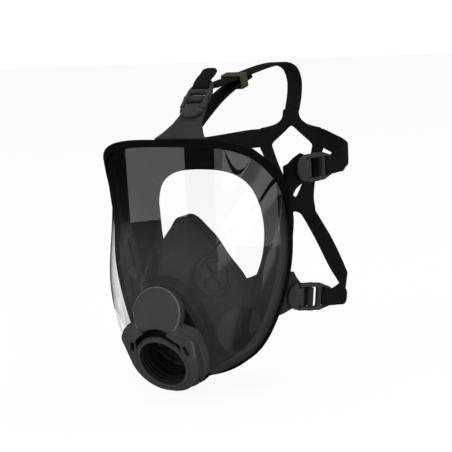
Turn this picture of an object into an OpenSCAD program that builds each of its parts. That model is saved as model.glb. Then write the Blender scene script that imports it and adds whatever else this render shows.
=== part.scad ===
// Full face respirator: panoramic lens, split rim frame, moulded face blank,
// inner nose cup, threaded connector housing with valves, and a five point
// rubber head harness with lever buckles.
// Frame: origin at the centre of the connector mouth, +Z up, the lens faces -Y,
// +X is the wearer's left.

/* [Lens and frame] */
// Lens wall thickness
lens_wall = 2.6; // [2:0.1:4]
// Distance from the frame's outer edge to the lens edge
frame_wall = 3; // [2:0.5:5]
// Front flange width beyond the lens edge at the forehead
flange_top = 2.9; // [2:0.1:6]
// Front flange width beyond the lens edge at the temples
flange_side = 4.4; // [3:0.5:9]
// Depth of the frame behind the lens face
frame_depth = 7; // [5:0.5:10]
// Radius of the round cheek pads moulded on the lens
pad_radius = 19.5; // [15:0.5:24]

/* [Face blank] */
// Rubber wall thickness of the face blank
blank_wall = 2.4; // [1.5:0.1:4]
// Wall thickness of the inner nose cup
cup_wall = 2; // [1.5:0.1:3]

/* [Connector] */
// Downward pitch of the connector axis in degrees
pitch = 22; // [0:1:40]
// Radius of the threaded connector bore (thread major radius)
port_radius = 20.3; // [18:0.1:22]
// Length of the threaded connector bore
port_length = 15; // [10:1:20]
// Radius of the valve cover lobe above the connector
lobe_radius = 20.5; // [16:0.5:24]
// Upward tilt of the valve cover lobe in degrees
lobe_tilt = 11; // [0:1:30]

/* [Harness] */
// Strap thickness
strap_thick = 2.6; // [1.5:0.1:4]
// Width of the crown strap
crown_width = 15; // [10:1:25]
// Width of the temple and neck straps
arm_width = 18; // [12:1:25]
// Buckle length
buckle_length = 40; // [36:1:50]
// Buckle width
buckle_width = 23; // [18:1:28]

/* [Hidden] */
$fn = 48;

// ---------------------------------------------------------------- helpers
function unit(v) = v/norm(v);
// unit vector along the part of v square to the unit vector axis
function square_to(v, axis) = unit(v - (v*axis)*axis);
function grey(level, blue=0.005) = [level, level, level+blue];

// a half outline followed by its mirror image in x; end=1 leaves out the shared first point
function flip_x(p) = [for (i=[0:len(p)-1]) i == 0 ? -p[0] : p[i]];
function closed(half, end=1) = concat(half, [for (i=[len(half)-2:-1:end]) flip_x(half[i])]);

// Catmull-Rom curves through points; the whole part of pos picks the span
function blend(a, b, c, d, f) = 0.5*(2*b + (c-a)*f + (2*a-5*b+4*c-d)*f*f + (3*b-a-3*c+d)*f*f*f);
function loop_curve(points, pos) = let (n=len(points), i=floor(pos))
  blend(points[(i-1+n)%n], points[i%n], points[(i+1)%n], points[(i+2)%n], pos-i);
function open_curve(points, pos) = let (
    n = len(points)-1,
    i = min(floor(pos), n-1),
    b = points[i],
    c = points[i+1],
    a = i > 0 ? points[i-1] : 2*b-c,
    d = i < n-1 ? points[i+2] : 2*c-b)
  blend(a, b, c, d, pos-i);

function quad(a, b, c, d) = [[a,b,c], [a,c,d]];

// closed shell between a grid of points and its copy pushed back along the normal;
// loop joins the last row to the first
module shell(grid, wall, loop=true) {
  rows = len(grid);
  cols = len(grid[0]);
  end_row = rows-1;
  end_col = cols-1;
  last = loop ? end_row : end_row-1;
  function normal(i, j) = let (
      next = loop ? (i+1)%rows : min(i+1, end_row),
      prev = loop ? (i-1+rows)%rows : max(i-1, 0))
    unit(cross(grid[i][min(j+1,end_col)] - grid[i][max(j-1,0)], grid[next][j] - grid[prev][j]));
  function face(i, j) = (i%rows)*cols + j;
  function back(i, j) = rows*cols + face(i, j);
  polyhedron(
    points = concat(
      [for (row=grid) each row],
      [for (i=[0:end_row]) for (j=[0:end_col]) grid[i][j] - wall*normal(i,j)]),
    faces = concat(
      [for (i=[0:last]) for (j=[0:end_col-1])
        each quad(face(i,j), face(i+1,j), face(i+1,j+1), face(i,j+1))],
      [for (i=[0:last]) for (j=[0:end_col-1])
        each quad(back(i,j), back(i,j+1), back(i+1,j+1), back(i+1,j))],
      [for (i=[0:last]) each quad(face(i,0), back(i,0), back(i+1,0), face(i+1,0))],
      [for (i=[0:last])
        each quad(face(i,end_col), face(i+1,end_col), back(i+1,end_col), back(i,end_col))],
      loop ? [] : [for (j=[0:end_col-1])
        each quad(face(0,j), face(0,j+1), back(0,j+1), back(0,j))],
      loop ? [] : [for (j=[0:end_col-1])
        each quad(face(end_row,j), back(end_row,j), back(end_row,j+1), face(end_row,j+1))]),
    convexity = 8);
}

// solid swept through a list of equal point rings, capped at both ends
module sweep(rings) {
  count = len(rings);
  size = len(rings[0]);
  function at(i, j) = i*size + j%size;
  polyhedron(
    points = [for (ring=rings) each ring],
    faces = concat(
      [for (i=[0:count-2]) for (j=[0:size-1])
        each quad(at(i,j), at(i+1,j), at(i+1,j+1), at(i,j+1))],
      [[for (j=[0:size-1]) at(0,j)]],
      [[for (j=[size-1:-1:0]) at(count-1,j)]]),
    convexity = 8);
}

module disc(radius, height, z=0, y=0) translate([0,y,z]) cylinder(r=radius, h=height);
// flat ring on z=0; cut is the length of the bore tool, which starts 1 below
module washer(outer, bore, height, cut) difference() {
  cylinder(r=outer, h=height);
  translate([0,0,-1]) cylinder(r=bore, h=cut);
}
// square bars through the axis
module spokes(angles, reach, width, z)
  for (a=angles) rotate(a) translate([-reach,-width/2,z]) cube([2*reach,width,width]);

// side 1 is the wearer's left, -1 the right
module on_side(side) {
  if (side > 0) children();
  else mirror([1,0,0]) children();
}

// ---------------------------------------------------------------- placements
// connector: local z runs out of the mouth, local y up the cover
module at_port() rotate([90+pitch,0,0]) children();
module at_lobe() translate([0,-4.5,43]) rotate([90-lobe_tilt,0,0]) children();
module at_pad(side)
  on_side(side) translate([58.6,28.2,25]) rotate([0,0,58]) rotate([98,0,0]) children();
module at_cup_valve(side)
  on_side(side) translate([32.6,34.9,67]) rotate([0,0,62]) rotate([90-18,0,0]) children();
// buckles: local x along the strap, z outward
module at_forehead() translate([0,62.5,191.5])
  rotate([90,0,90]) rotate([0,0,40]) rotate([-90,0,0]) children();
module at_temple(side)
  on_side(side) translate([83,89,147]) rotate([0,0,75]) rotate([90,0,0]) children();
module at_cheek(side)
  on_side(side) translate([73,80,43]) rotate([0,0,58]) rotate([90,0,0]) rotate([0,0,-7]) children();

// ---------------------------------------------------------------- outlines
// Each table lists [x, y, z] from the middle of the forehead down the wearer's
// left side to the middle of the chin; closed() adds the other side.
rim = closed([
  [0,29.4,178.3], [46,32.2,177.2], [74.3,45.3,166], [84.6,68.5,138.4], [83.2,75,105.6],
  [81.8,70.8,67.8], [67.5,64,21.6], [45,55.3,-5.8], [0,40.5,-14]]);
// pulls the lens surface between its edge and the front opening
lens_mid = closed([
  [0,18.3,120], [36,23,118.5], [63,44.5,110], [80,51.5,98], [89,41,80],
  [87.5,31,55], [75,24.5,20.5], [40,37,-11.5], [0,36.5,-22]]);
// three outlines of the face blank, running back to the face seal
blank_back = closed([
  [0,50,173], [42,54,169], [63,66,155], [71,84,133], [71.5,88,105],
  [69.5,84,68], [59,78,24], [40,72,-4], [0,62,-13]]);
blank_rear = closed([
  [0,68,166], [36,72,162], [55,82,149], [61.5,96,130], [63,100,104],
  [61.5,98,70], [54,95,30], [37,92,2], [0,88,-7]]);
blank_seal = closed([
  [0,77,149], [26,78,146.5], [43.5,81,136], [51.5,85,117], [52.5,88,95],
  [49,88,70], [41,88,46], [25,86,26], [0,84,17]]);

// Positions along the outlines: 0 forehead, half_turn chin, turn forehead again
turn = len(rim);
half_turn = turn/2;
around = [for (i=[0:4*turn-1]) i/4];

// Egg-shaped lens opening in connector axes, leaning back towards the top
port_axis = [0, -cos(pitch), -sin(pitch)];
port_up = [0, -sin(pitch), cos(pitch)];
function port_point(x, y, z) = [x,0,0] + y*port_up + z*port_axis;
opening_y = 14;
opening_z = -22;
opening_half_width = 32;
opening_half_height = 42;
opening_taper = 0.14;
opening_slope = 0.18;
opening_lean = 10.2; // degrees
opening_angles = [0,26,50,74,98,122,144,162,180];
opening_centre = port_point(0, opening_y, opening_z);
opening = closed([for (a=opening_angles) let (rise=opening_half_height*cos(a))
  port_point(opening_half_width*(1-opening_taper*cos(a))*sin(a),
    opening_y+rise, opening_z-opening_slope*rise)]);

// Directions at the rim: along it, across the lens, and out of the lens face
function rim_tangent(pos) =
  unit(loop_curve(rim, pos+0.05+turn) - loop_curve(rim, pos-0.05+turn));
function rim_inward(pos) =
  square_to(loop_curve(lens_mid,pos) - loop_curve(rim,pos), rim_tangent(pos));
function rim_outward(pos) = unit(cross(rim_inward(pos), rim_tangent(pos)));
function lens_edge(pos) = loop_curve(rim,pos) + frame_wall*rim_inward(pos);

// ---------------------------------------------------------------- lens
module lens_solid() {
  shell([for (pos=around) let (
      edge = lens_edge(pos),
      mid = loop_curve(lens_mid,pos),
      inner = loop_curve(opening,pos))
    [for (j=[0:9]) let (w=j/9) (1-w)*(1-w)*edge + 2*w*(1-w)*mid + w*w*inner]], lens_wall);
  for (side=[-1,1]) at_pad(side) disc(pad_radius, 5, -5);
}
module lens() color([0.62,0.66,0.68,0.35]) difference() {
  lens_solid();
  housing_hole();
}

// ---------------------------------------------------------------- rim frame
split_pos = 5.35; // where the upper and lower frame meet on the left
split_gap = 0.012; // trimmed from each frame end, in outline positions

// widest half way down each side; stays at flange_top past a full turn
function flange(pos) = let (from_top = max(pos > half_turn ? turn-pos : pos, 0))
  flange_top + (flange_side-flange_top)*pow(sin(180*from_top/half_turn), 1.5);
// profile columns: inward from the lens edge, outward from the lens face
function frame_section(pos) = let (
    edge = lens_edge(pos),
    inward = rim_inward(pos),
    outward = rim_outward(pos),
    width = flange(pos))
  [for (p=[[-frame_wall,1.2], [-frame_wall+1,2.0], [width,1.6], [width,0.25],
      [-0.3,0.25], [-0.3,-frame_depth], [-frame_wall,-frame_depth]])
    edge + p[0]*inward + p[1]*outward];
module frame_part(start, span, steps) color(grey(0.05)) difference() {
  sweep([for (i=[0:steps]) frame_section(start+split_gap + i*(span-2*split_gap)/steps)]);
  lens_solid();
}
module frame_upper() frame_part(turn-split_pos, 2*split_pos, 44);
module frame_lower() frame_part(split_pos, turn-2*split_pos, 24);

// ---------------------------------------------------------------- face blank
// from just behind the lens edge, past the frame, back to the face seal
function blank_row(pos) = let (
    edge = lens_edge(pos),
    inward = rim_inward(pos),
    outward = rim_outward(pos),
    path = [
      edge + 2.8*inward - (lens_wall+0.7)*outward,
      edge + 3.1*inward - (frame_depth+1.5)*outward,
      loop_curve(blank_back,pos),
      loop_curve(blank_rear,pos),
      loop_curve(blank_seal,pos)])
  [for (j=[0:10]) open_curve(path, j*0.4)];
module blank_solid() shell([for (pos=around) blank_row(pos)], blank_wall);
module face_blank() color(grey(0.10)) difference() {
  blank_solid();
  for (side=[-1,1]) at_pad(side) disc(pad_radius+0.3, 9, -5.3);
}

// ---------------------------------------------------------------- strap lugs
pin_x = 21;
pivot_x = 13.2;
pin_z = 2.6;
lug_thick = 3;
// lug outlines, columns: x, width, y of the middle
forehead_lug = [[-22,52,0], [-14,40,0], [-5,30,0], [4,25,0], [14,22,0], [20.6,19,0]];
temple_lug = [[-13,36,-13], [-7,31,-9], [0,27,-3], [8,26,0.5], [14,22,0], [20.6,19,0]];
cheek_lug = [[-9,40,2], [0,36,3.5], [7,32,5], [10,27,2.5], [15,21,0], [20.6,19,0]];

// cylinder across the strap
module cross_bar(x, radius, length)
  translate([x,0,pin_z]) rotate([90,0,0]) cylinder(r=radius, h=length, center=true, $fn=32);
// tapering plate plus a loop round the pin
module lug_plate(outline) difference() {
  union() {
    sweep([for (row=outline) let (x=row[0], low=row[2]-row[1]/2, high=row[2]+row[1]/2)
      [[x,low,-lug_thick], [x,high,-lug_thick], [x,high,0], [x,low,0]]]);
    cross_bar(pin_x, 3.1, 15);
  }
  cross_bar(pin_x, 1.52, 30);
}
module lug_forehead() color(grey(0.16)) difference() {
  at_forehead() lug_plate(forehead_lug);
  blank_solid();
}
module lug_temple(side) color(grey(0.11)) difference() {
  at_temple(side) lug_plate(temple_lug);
  blank_solid();
}
module lug_cheek(side) color(grey(0.13)) at_cheek(side) lug_plate(cheek_lug);

// ---------------------------------------------------------------- nose cup
// stations from the chin up, columns: z, half width, y at the sides, y at the front
cup_stations = [
  [-6,17,67,57], [4,29,63,44], [15,38,60,34], [30,44,57,26], [45,46,54,21], [61,44,51.6,18],
  [79,32,48,22], [94,22,47,28], [103,14,45.5,33], [110,8,43.5,37], [113,4,42,39]];
cup_skirt_step = 7; // each of the two outermost points per side lies this much further back
function cup_section(station) = [for (k=[-8:8]) let (
    skirt = max(abs(k)-6, 0)*cup_skirt_step,
    across = sin(15*min(abs(k),6)),
    side = k < 0 ? -1 : 1)
  [station[1]*across*side,
   station[3] + (station[2]-station[3])*pow(across,1.5) + skirt,
   station[0]]];
module nose_cup() color(grey(0.17)) difference() {
  shell([for (station=cup_stations) cup_section(station)], cup_wall, false);
  for (side=[-1,1]) at_cup_valve(side) {
    disc(13, 30, -14);
    disc(16.6, 12, -3.6);
  }
  at_port() disc(sleeve_radius+0.4, 60, -70, sleeve_y);
}
module cup_valve_seat(side) color(grey(0.15)) at_cup_valve(side) {
  translate([0,0,-1]) washer(16.5, 12.6, 3, 6);
  spokes([20,110], 12.9, 1.8, -0.5);
  disc(2, 2.3, -1);
}
module cup_valve_disc(side) color(grey(0.3, 0.01)) at_cup_valve(side) disc(14, 0.8, -2.0);

// ---------------------------------------------------------------- connector housing
housing_radius = 31;
collar_radius = 19.2; // housing collar behind the lobe
sleeve_radius = 18.4; // tube running back into the nose cup
sleeve_y = 8;
ring_radius = 24; // port ring and inhale seat
inhale_hub = 3;
exhale_hub = 2.2;

// clearance round the housing
module housing_hole() at_port() disc(housing_radius+0.15, 58, -60);
module housing_body() color(grey(0.12)) difference() {
  union() {
    at_port() disc(housing_radius, 10, -24);
    at_port() disc(25, 10, -32, 6);
    at_port() disc(sleeve_radius, 16, -46, sleeve_y);
    at_lobe() disc(collar_radius, 11, -18);
  }
  at_port() disc(ring_radius+0.3, 60, -26);
  at_port() disc(15.8, 60, -60, sleeve_y);
  at_lobe() disc(15.3, 40, -30);
}

// round boss with a bevelled top edge; bevel is [inward, downward]
module boss(radius, base, top, bevel) rotate_extrude()
  polygon([[0,base], [radius,base], [radius,top-bevel[1]], [radius-bevel[0],top], [0,top]]);
module cover_outer() {
  // lower bowl round the connector, with its two shoulders
  at_port() rotate_extrude()
    polygon([[0,-15], [33.6,-15], [33.6,-9], [32.6,-7.2], [25.2,0], [0,0]]);
  for (side=[-1,1])
    at_port() translate([side*26.6,19.5,0]) boss(9.6, -14.8, -7.4, [1.2,1.2]);
  // bridge from the lobe down to the connector rim
  at_port() translate([0,17,0]) boss(20.8, -14.6, -3.4, [1.8,1.8]);
  at_lobe() translate([0,-9,0]) boss(18.2, -7.6, -0.5, [1.2,1.3]);
  at_lobe() boss(lobe_radius, -8, 0, [1.2,1.2]);
}
module front_cover() color(grey(0.20)) difference() {
  cover_outer();
  at_port() disc(ring_radius+0.2, 60, -30, $fn=64);
  at_port() disc(housing_radius+0.3, 21.7, -30, $fn=64);
  at_lobe() disc(collar_radius+0.2, 27.5, -30, $fn=64);
  // crescent exhalation outlet above the connector
  at_port() intersection() {
    translate([0,0,-4.7]) washer(30.5, 26.3, 20, 30);
    translate([-19,12,-10]) cube([38,40,30]);
  }
  // slanted slot on each side of the connector
  for (side=[-1,1])
    at_port() translate([side*24.8,14.2,-10]) rotate(side*14)
      translate([-1.9,-4.6,0]) cube([3.8,9.2,30]);
}

module port_ring() color(grey(0.09)) at_port() difference() {
  union() {
    disc(ring_radius, 8, -8, $fn=96);
    disc(22.2, 10, -17, $fn=96);
  }
  disc(port_radius, port_length+1.5, -port_length-0.5, $fn=96);
  disc(21.1, 3, -port_length-3, $fn=96);
}
module port_gasket() color(grey(0.05, 0))
  at_port() translate([0,0,-port_length-2.1]) washer(20.9, 17.5, 2, 4);
module inhale_seat() color(grey(0.14)) at_port() {
  translate([0,0,-20.2]) washer(ring_radius, 16, 3, 5);
  spokes([0,60,120], 16.3, 2, -19.8);
  disc(inhale_hub, 5, -22.6);
}
module inhale_disc() color(grey(0.35, 0.01))
  at_port() translate([0,0,-21.3]) washer(18, inhale_hub+0.1, 0.9, 4);
module exhale_seat() color(grey(0.14)) at_lobe() {
  translate([0,0,-12]) washer(15.1, 11, 2.5, 5);
  spokes([0,90], 11.3, 1.8, -11.8);
  disc(exhale_hub, 5.5, -12);
}
module exhale_disc() color(grey(0.35, 0.01))
  at_lobe() translate([0,0,-9.3]) washer(13, exhale_hub+0.1, 0.9, 4);

// point beside the lens opening: reach away from its centre, depth behind it
opening_axis = unit(cross(opening[half_turn]-opening[0], [-1,0,0]));
function beside_opening(pos, reach, depth) = let (edge=loop_curve(opening,pos))
  edge + reach*unit(edge-opening_centre) + depth*opening_axis;
// clamp ring behind the cover that grips the edge of the lens opening
module lens_clamp_ring() color(grey(0.07)) difference() {
  shell([for (pos=around) [for (reach=[6.2,2.4,0.3]) beside_opening(pos, reach, 5.4)]], 2.3);
  lens_solid();
  housing_hole();
}
// six hex-socket screw heads round the clamp ring
module clamp_screws() color(grey(0.45, 0.01))
  for (pos=[1.5,3.2,6.4,9.6,12.8,14.5])
    translate(beside_opening(pos, 2.3, 5.45)) rotate([-90+pitch-opening_lean,0,0]) difference() {
      cylinder(r=1.7, h=1.4, $fn=24);
      translate([0,0,0.6]) cylinder(r=0.8, h=2, $fn=6);
    }

// ---------------------------------------------------------------- harness
// rear web outlines, [x, z]
web_inner = closed([[0,170], [9,162], [22.4,151.5], [21,146], [16.5,132], [8,112], [0,98]]);
web_outer = closed([
  [7.5,184], [7.8,178], [10,173.5], [16,169.5], [25,167.2], [33,166], [33,148], [30.5,143],
  [27,132], [21,115], [19,100], [21,88], [14,80], [5,86], [0,88]], end=0);
// strap centre lines, [x, y, z]; the side straps are drawn on the wearer's left
crown_path = [
  [0,98,215.5], [0,108,216.6], [0,124,218.5], [0,144,220.6], [0,168,223.8], [0,200,227],
  [0,226,227], [0,244,221.5], [0,251.5,210], [0,250,196], [0,242.8,180]];
tail_path = [
  [0,60,179], [0,80,190.5], [0,105,203], [0,126,210.8], [0,146,216.6], [0,162,220.6]];
temple_path = [
  [94.6,130.8,147.2], [95.5,151,149], [89,173,151], [74,194,153],
  [56,213,155], [41,228.5,156.8], [33,237,157.1], [26,241.2,157.2]];
neck_left = [
  [96.2,117.5,35.5], [94,138,37], [84,168,38.5], [63,204,38], [40,238,42],
  [23,252,59], [15,249,76], [10.5,241.3,91]];
neck_right = [
  [96.2,117.5,35.5], [94,138,34], [83,170,28], [63,204,23], [43,232,23],
  [27,249,37], [20,254,57], [15,250,76], [10.5,241.3,91]];
// width directions at the neck strap points
neck_left_across = [
  [0,0,1], [0.05,0.1,1], [0.1,0.2,1], [0.25,0.3,0.9], [0.5,0.3,0.7],
  [0.8,0.1,0.45], [0.95,0,0.3], [0.95,0,0.3]];
neck_right_across = [
  [0,0,1], [0.05,0.1,1], [0.1,0.2,1], [0.2,0.3,0.9], [0.4,0.3,0.8],
  [0.7,0.2,0.5], [0.85,0.1,0.4], [0.95,0,0.3], [0.95,0,0.3]];

function repeat(v, path) = [for (p=path) v];
// flat strap along a centre line; across holds a width direction for each point
module strap(path, across, width, steps) {
  n = len(path)-1;
  sweep([for (i=[0:steps]) let (
      pos = n*i/steps,
      centre = open_curve(path,pos),
      along = unit(open_curve(path,min(pos+0.02,n)) - open_curve(path,max(pos-0.02,0))),
      wide = square_to(open_curve(across,pos), along),
      half = wide*width/2,
      thick = cross(along,wide)*strap_thick/2)
    [centre-half-thick, centre+half-thick, centre+half+thick, centre-half+thick]]);
}
module harness_web() color(grey(0.07)) {
  translate([0,242.6,0]) rotate([90,0,0]) linear_extrude(2.4) difference() {
    polygon(web_outer);
    polygon(web_inner);
  }
  strap(crown_path, repeat([1,0,0], crown_path), crown_width, 40);
  strap(tail_path, repeat([1,0,0], tail_path), crown_width+1, 16);
  for (side=[-1,1]) on_side(side) {
    strap(temple_path, repeat([0,0.05,1], temple_path), arm_width-0.6, 20);
    strap(side > 0 ? neck_left : neck_right,
      side > 0 ? neck_left_across : neck_right_across, arm_width-3, 28);
  }
}
module strap_keeper() color([0.22,0.20,0.18])
  translate([0,141,217.6]) rotate([11,0,0]) difference() {
    cube([crown_width+6,11,13], center=true);
    cube([crown_width+2.4,20,10], center=true);
  }

// ---------------------------------------------------------------- buckles
window_width = 16.2;
straight_end = 30; // x where the buckle sides start to taper
end_taper = 3.5;
module buckle() difference() {
  half = buckle_width/2;
  translate([0,0,0.4]) linear_extrude(4.4) difference() {
    polygon([
      [10.4,-half], [straight_end,-half], [buckle_length,-half+end_taper],
      [buckle_length,half-end_taper], [straight_end,half], [10.4,half]]);
    translate([9,-window_width/2]) square([18.5,window_width]);
    translate([31,-window_width/2]) square([3.2,window_width]);
  }
  cross_bar(pin_x, 1.55, 60);
  cross_bar(pivot_x, 1.25, 21);
}
// round-ended lever with a crowned top, on its pivot
module buckle_lever() {
  intersection() {
    translate([0,0,0.6]) linear_extrude(4) polygon(concat(
      [for (a=[90:15:270]) [9.3+9.1*cos(a), 11.5*sin(a)]],
      [[9.3,-7.7], [12.4,-7.7], [12.4,7.7], [9.3,7.7]]));
    translate([9,0,-17.2]) rotate([90,0,0]) cylinder(r=22, h=40, center=true, $fn=96);
  }
  cross_bar(pivot_x, 2, 15.4);
  cross_bar(pivot_x, 1.2, 20.6);
}
module pin() cross_bar(pin_x, 1.5, buckle_width-0.4);

module buckle_forehead() color(grey(0.22)) at_forehead() buckle();
module buckle_temple(side) color(grey(0.22)) at_temple(side) buckle();
module buckle_cheek(side) color(grey(0.22)) at_cheek(side) buckle();
module lever_forehead() color(grey(0.25)) at_forehead() buckle_lever();
module lever_temple(side) color(grey(0.25)) at_temple(side) buckle_lever();
module lever_cheek(side) color(grey(0.25)) at_cheek(side) buckle_lever();
module buckle_pins() color(grey(0.5, 0.02)) {
  at_forehead() pin();
  for (side=[-1,1]) {
    at_temple(side) pin();
    at_cheek(side) pin();
  }
}

lens();
frame_upper();
frame_lower();
face_blank();
lug_forehead();
lug_temple(1);  // lug_temple_left
lug_temple(-1);  // lug_temple_right
lug_cheek(1);  // lug_cheek_left
lug_cheek(-1);  // lug_cheek_right
nose_cup();
cup_valve_seat(1);  // cup_valve_seat_left
cup_valve_seat(-1);  // cup_valve_seat_right
cup_valve_disc(1);  // cup_valve_disc_left
cup_valve_disc(-1);  // cup_valve_disc_right
housing_body();
front_cover();
port_ring();
port_gasket();
inhale_seat();
inhale_disc();
exhale_seat();
exhale_disc();
lens_clamp_ring();
clamp_screws();
harness_web();
strap_keeper();
buckle_pins();
buckle_forehead();
buckle_temple(1);  // buckle_temple_left
buckle_temple(-1);  // buckle_temple_right
buckle_cheek(1);  // buckle_cheek_left
buckle_cheek(-1);  // buckle_cheek_right
lever_forehead();
lever_temple(1);  // lever_temple_left
lever_temple(-1);  // lever_temple_right
lever_cheek(1);  // lever_cheek_left
lever_cheek(-1);  // lever_cheek_right
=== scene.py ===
"""Full-face respirator mask with a clear visor, rubber skirt, nose cup, valves and harness.

The visor faces -Y, +Z is up, and the mask is mirrored about X = 0 apart from the paths of the
neck straps. "left" is the wearer's left, +X. Shapes are written in mm and scaled by MM.
"""
from math import acos, cos, pi, radians, sin, sqrt, tan

import bpy
import numpy as np
from mathutils import Matrix, Vector
from mathutils.interpolate import poly_3d_calc
from numpy import array, clip, hypot, linspace, maximum, minimum, stack, where


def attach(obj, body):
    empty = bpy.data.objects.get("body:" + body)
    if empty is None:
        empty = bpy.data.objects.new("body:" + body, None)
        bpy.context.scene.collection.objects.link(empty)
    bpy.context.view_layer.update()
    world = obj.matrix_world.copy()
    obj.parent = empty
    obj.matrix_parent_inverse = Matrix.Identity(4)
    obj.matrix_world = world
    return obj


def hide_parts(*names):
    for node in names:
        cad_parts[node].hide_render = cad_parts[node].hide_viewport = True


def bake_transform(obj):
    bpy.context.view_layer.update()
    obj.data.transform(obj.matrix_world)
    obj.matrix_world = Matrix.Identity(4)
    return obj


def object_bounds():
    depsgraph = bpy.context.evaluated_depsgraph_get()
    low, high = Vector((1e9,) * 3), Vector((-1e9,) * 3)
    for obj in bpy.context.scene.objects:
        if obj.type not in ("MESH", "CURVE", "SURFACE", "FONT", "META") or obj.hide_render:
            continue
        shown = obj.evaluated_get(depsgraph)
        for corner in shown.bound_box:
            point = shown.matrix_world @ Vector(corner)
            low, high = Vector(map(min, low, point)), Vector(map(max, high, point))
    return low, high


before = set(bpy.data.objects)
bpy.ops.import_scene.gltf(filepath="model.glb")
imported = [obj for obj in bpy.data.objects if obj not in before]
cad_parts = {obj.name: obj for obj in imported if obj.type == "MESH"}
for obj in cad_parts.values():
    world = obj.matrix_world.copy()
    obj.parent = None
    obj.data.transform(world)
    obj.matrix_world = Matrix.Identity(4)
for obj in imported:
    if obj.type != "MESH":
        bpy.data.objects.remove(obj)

CAD_BOX = [list(v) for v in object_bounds()]
MM = 0.001
scene = bpy.context.scene
MIRROR = np.diag([-1.0, 1, 1])
SIDES = (("left", False), ("right", True))     # name, whether mirrored

# ------------------------------------------------------------------ outlines
# Each outline is half a loop of (x, y, z): nine stations from the top middle, down the +X side,
# to the bottom middle. A whole loop has LOOP stations.
LOOP = 16
RIM = [[0, 29.4, 178.3], [46, 32.2, 177.2], [74.3, 45.3, 166], [84.6, 68.5, 138.4],
       [83.2, 75, 105.6], [81.8, 70.8, 67.8], [67.5, 64, 21.6], [45, 55.3, -5.8],
       [0, 40.5, -14]]
# middle control points of the visor's curve from rim to opening
MID = [[0, 18.3, 120], [36, 23, 118.5], [63, 44.5, 110], [80, 51.5, 98], [89, 41, 80],
       [87.5, 31, 55], [75, 24.5, 20.5], [40, 37, -11.5], [0, 36.5, -22]]
# the face skirt, from behind the rim to the edge that seals on the face
BACK = [[0, 50, 173], [42, 54, 169], [63, 66, 155], [71, 84, 133], [71.5, 88, 105],
        [69.5, 84, 68], [59, 78, 24], [40, 72, -4], [0, 62, -13]]
REAR = [[0, 68, 166], [36, 72, 162], [55, 82, 149], [61.5, 96, 130], [63, 100, 104],
        [61.5, 98, 70], [54, 95, 30], [37, 92, 2], [0, 88, -7]]
SEAL = [[0, 77, 149], [26, 78, 146.5], [43.5, 81, 136], [51.5, 85, 117], [52.5, 88, 95],
        [48, 88, 70], [35.8, 88, 46], [22, 86, 27], [0, 84, 17]]

# the visor's opening round the connector, in the connector's tilted axes
PORT_TILT = 22                                 # degrees the connector points below level
OPENING_ANGLES = [0, 26, 50, 74, 98, 122, 144, 162, 180]
OPENING_HALF_WIDTH, OPENING_HALF_HEIGHT = 32, 42
OPENING_RISE, OPENING_DEPTH = 14, -22


def opening_point(degrees):
    tilt, angle = radians(PORT_TILT), radians(degrees)
    up = array([0, -sin(tilt), cos(tilt)])
    out = array([0, -cos(tilt), -sin(tilt)])
    across = OPENING_HALF_WIDTH*(1 - 0.14*cos(angle))*sin(angle)
    rise = OPENING_RISE + OPENING_HALF_HEIGHT*cos(angle)
    depth = OPENING_DEPTH - 0.18*OPENING_HALF_HEIGHT*cos(angle)
    return array([across, 0, 0]) + rise*up + depth*out


def both_sides(half, stop=0):
    """Half outline followed by its mirror image; stop=None repeats the first point too."""
    half = array(half, float)
    other = half[-2:stop:-1].copy()
    other[:, 0] *= -1
    return np.vstack([half, other])


def unit(v):
    v = np.asarray(v, float)
    return v/maximum(np.linalg.norm(v, axis=-1, keepdims=True), 1e-12)


def catmull(points, t, closed=True):
    """Catmull-Rom spline through the rows of points, at parameters t."""
    points = np.asarray(points, float)
    t = np.asarray(t, float)
    count = len(points)
    i = np.floor(t).astype(int)
    if closed:
        p0, p1, p2, p3 = (points[(i + k) % count] for k in (-1, 0, 1, 2))
    else:
        i = clip(i, 0, count - 2)
        first, last = 2*points[0] - points[1], 2*points[-1] - points[-2]
        padded = np.concatenate([first[None], points, last[None]])
        p0, p1, p2, p3 = (padded[i + k] for k in range(4))
    f = t - i
    f = f.reshape(f.shape + (1,)*(points.ndim - 1))
    return 0.5*(2*p1 + (p2 - p0)*f + (2*p0 - 5*p1 + 4*p2 - p3)*f*f
                + (3*p1 - p0 - 3*p2 + p3)*f**3)


def smooth_loop(half, sub=16):
    """Closed curve from a half outline, its curvature evened out, as a function of station."""
    points = both_sides(half)
    count = len(points)*sub
    dense = catmull(points, np.arange(count)/sub)
    kernel = np.hanning(2*sub - 5)
    kernel /= kernel.sum()
    reach = len(kernel)//2

    def blur(curve):
        wrapped = np.vstack([curve[-reach:], curve, curve[:reach]])
        return stack([np.convolve(wrapped[:, k], kernel, mode="valid") for k in range(3)],
                     axis=1)

    smooth = blur(dense)
    # put back what smoothing pulled in, so the curve still passes close to its points
    smooth = smooth + blur(dense - smooth)
    return lambda t: catmull(smooth, np.asarray(t, float)*sub % count)


rim, mid = smooth_loop(RIM), smooth_loop(MID)
opening = smooth_loop([opening_point(a) for a in OPENING_ANGLES])
back, rear, seal = smooth_loop(BACK), smooth_loop(REAR), smooth_loop(SEAL)

RIM_INSET = 3                                  # visor edge inside the rim curve


def rim_frame(t):
    """Visor edge points, inward directions and outward normals at stations t."""
    t = np.asarray(t, float)
    at = rim(t % LOOP)
    along = unit(rim((t + 0.05) % LOOP) - rim((t - 0.05) % LOOP))
    to_mid = mid(t % LOOP) - at
    inward = unit(to_mid - (to_mid*along).sum(-1, keepdims=True)*along)
    return at + RIM_INSET*inward, inward, unit(np.cross(inward, along))


# ------------------------------------------------------------------ shader nodes
def put(tree, socket, value):
    """Links a socket to an input, or sets any other value on it."""
    if isinstance(value, bpy.types.NodeSocket):
        tree.links.new(value, socket)
    else:
        socket.default_value = value


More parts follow.
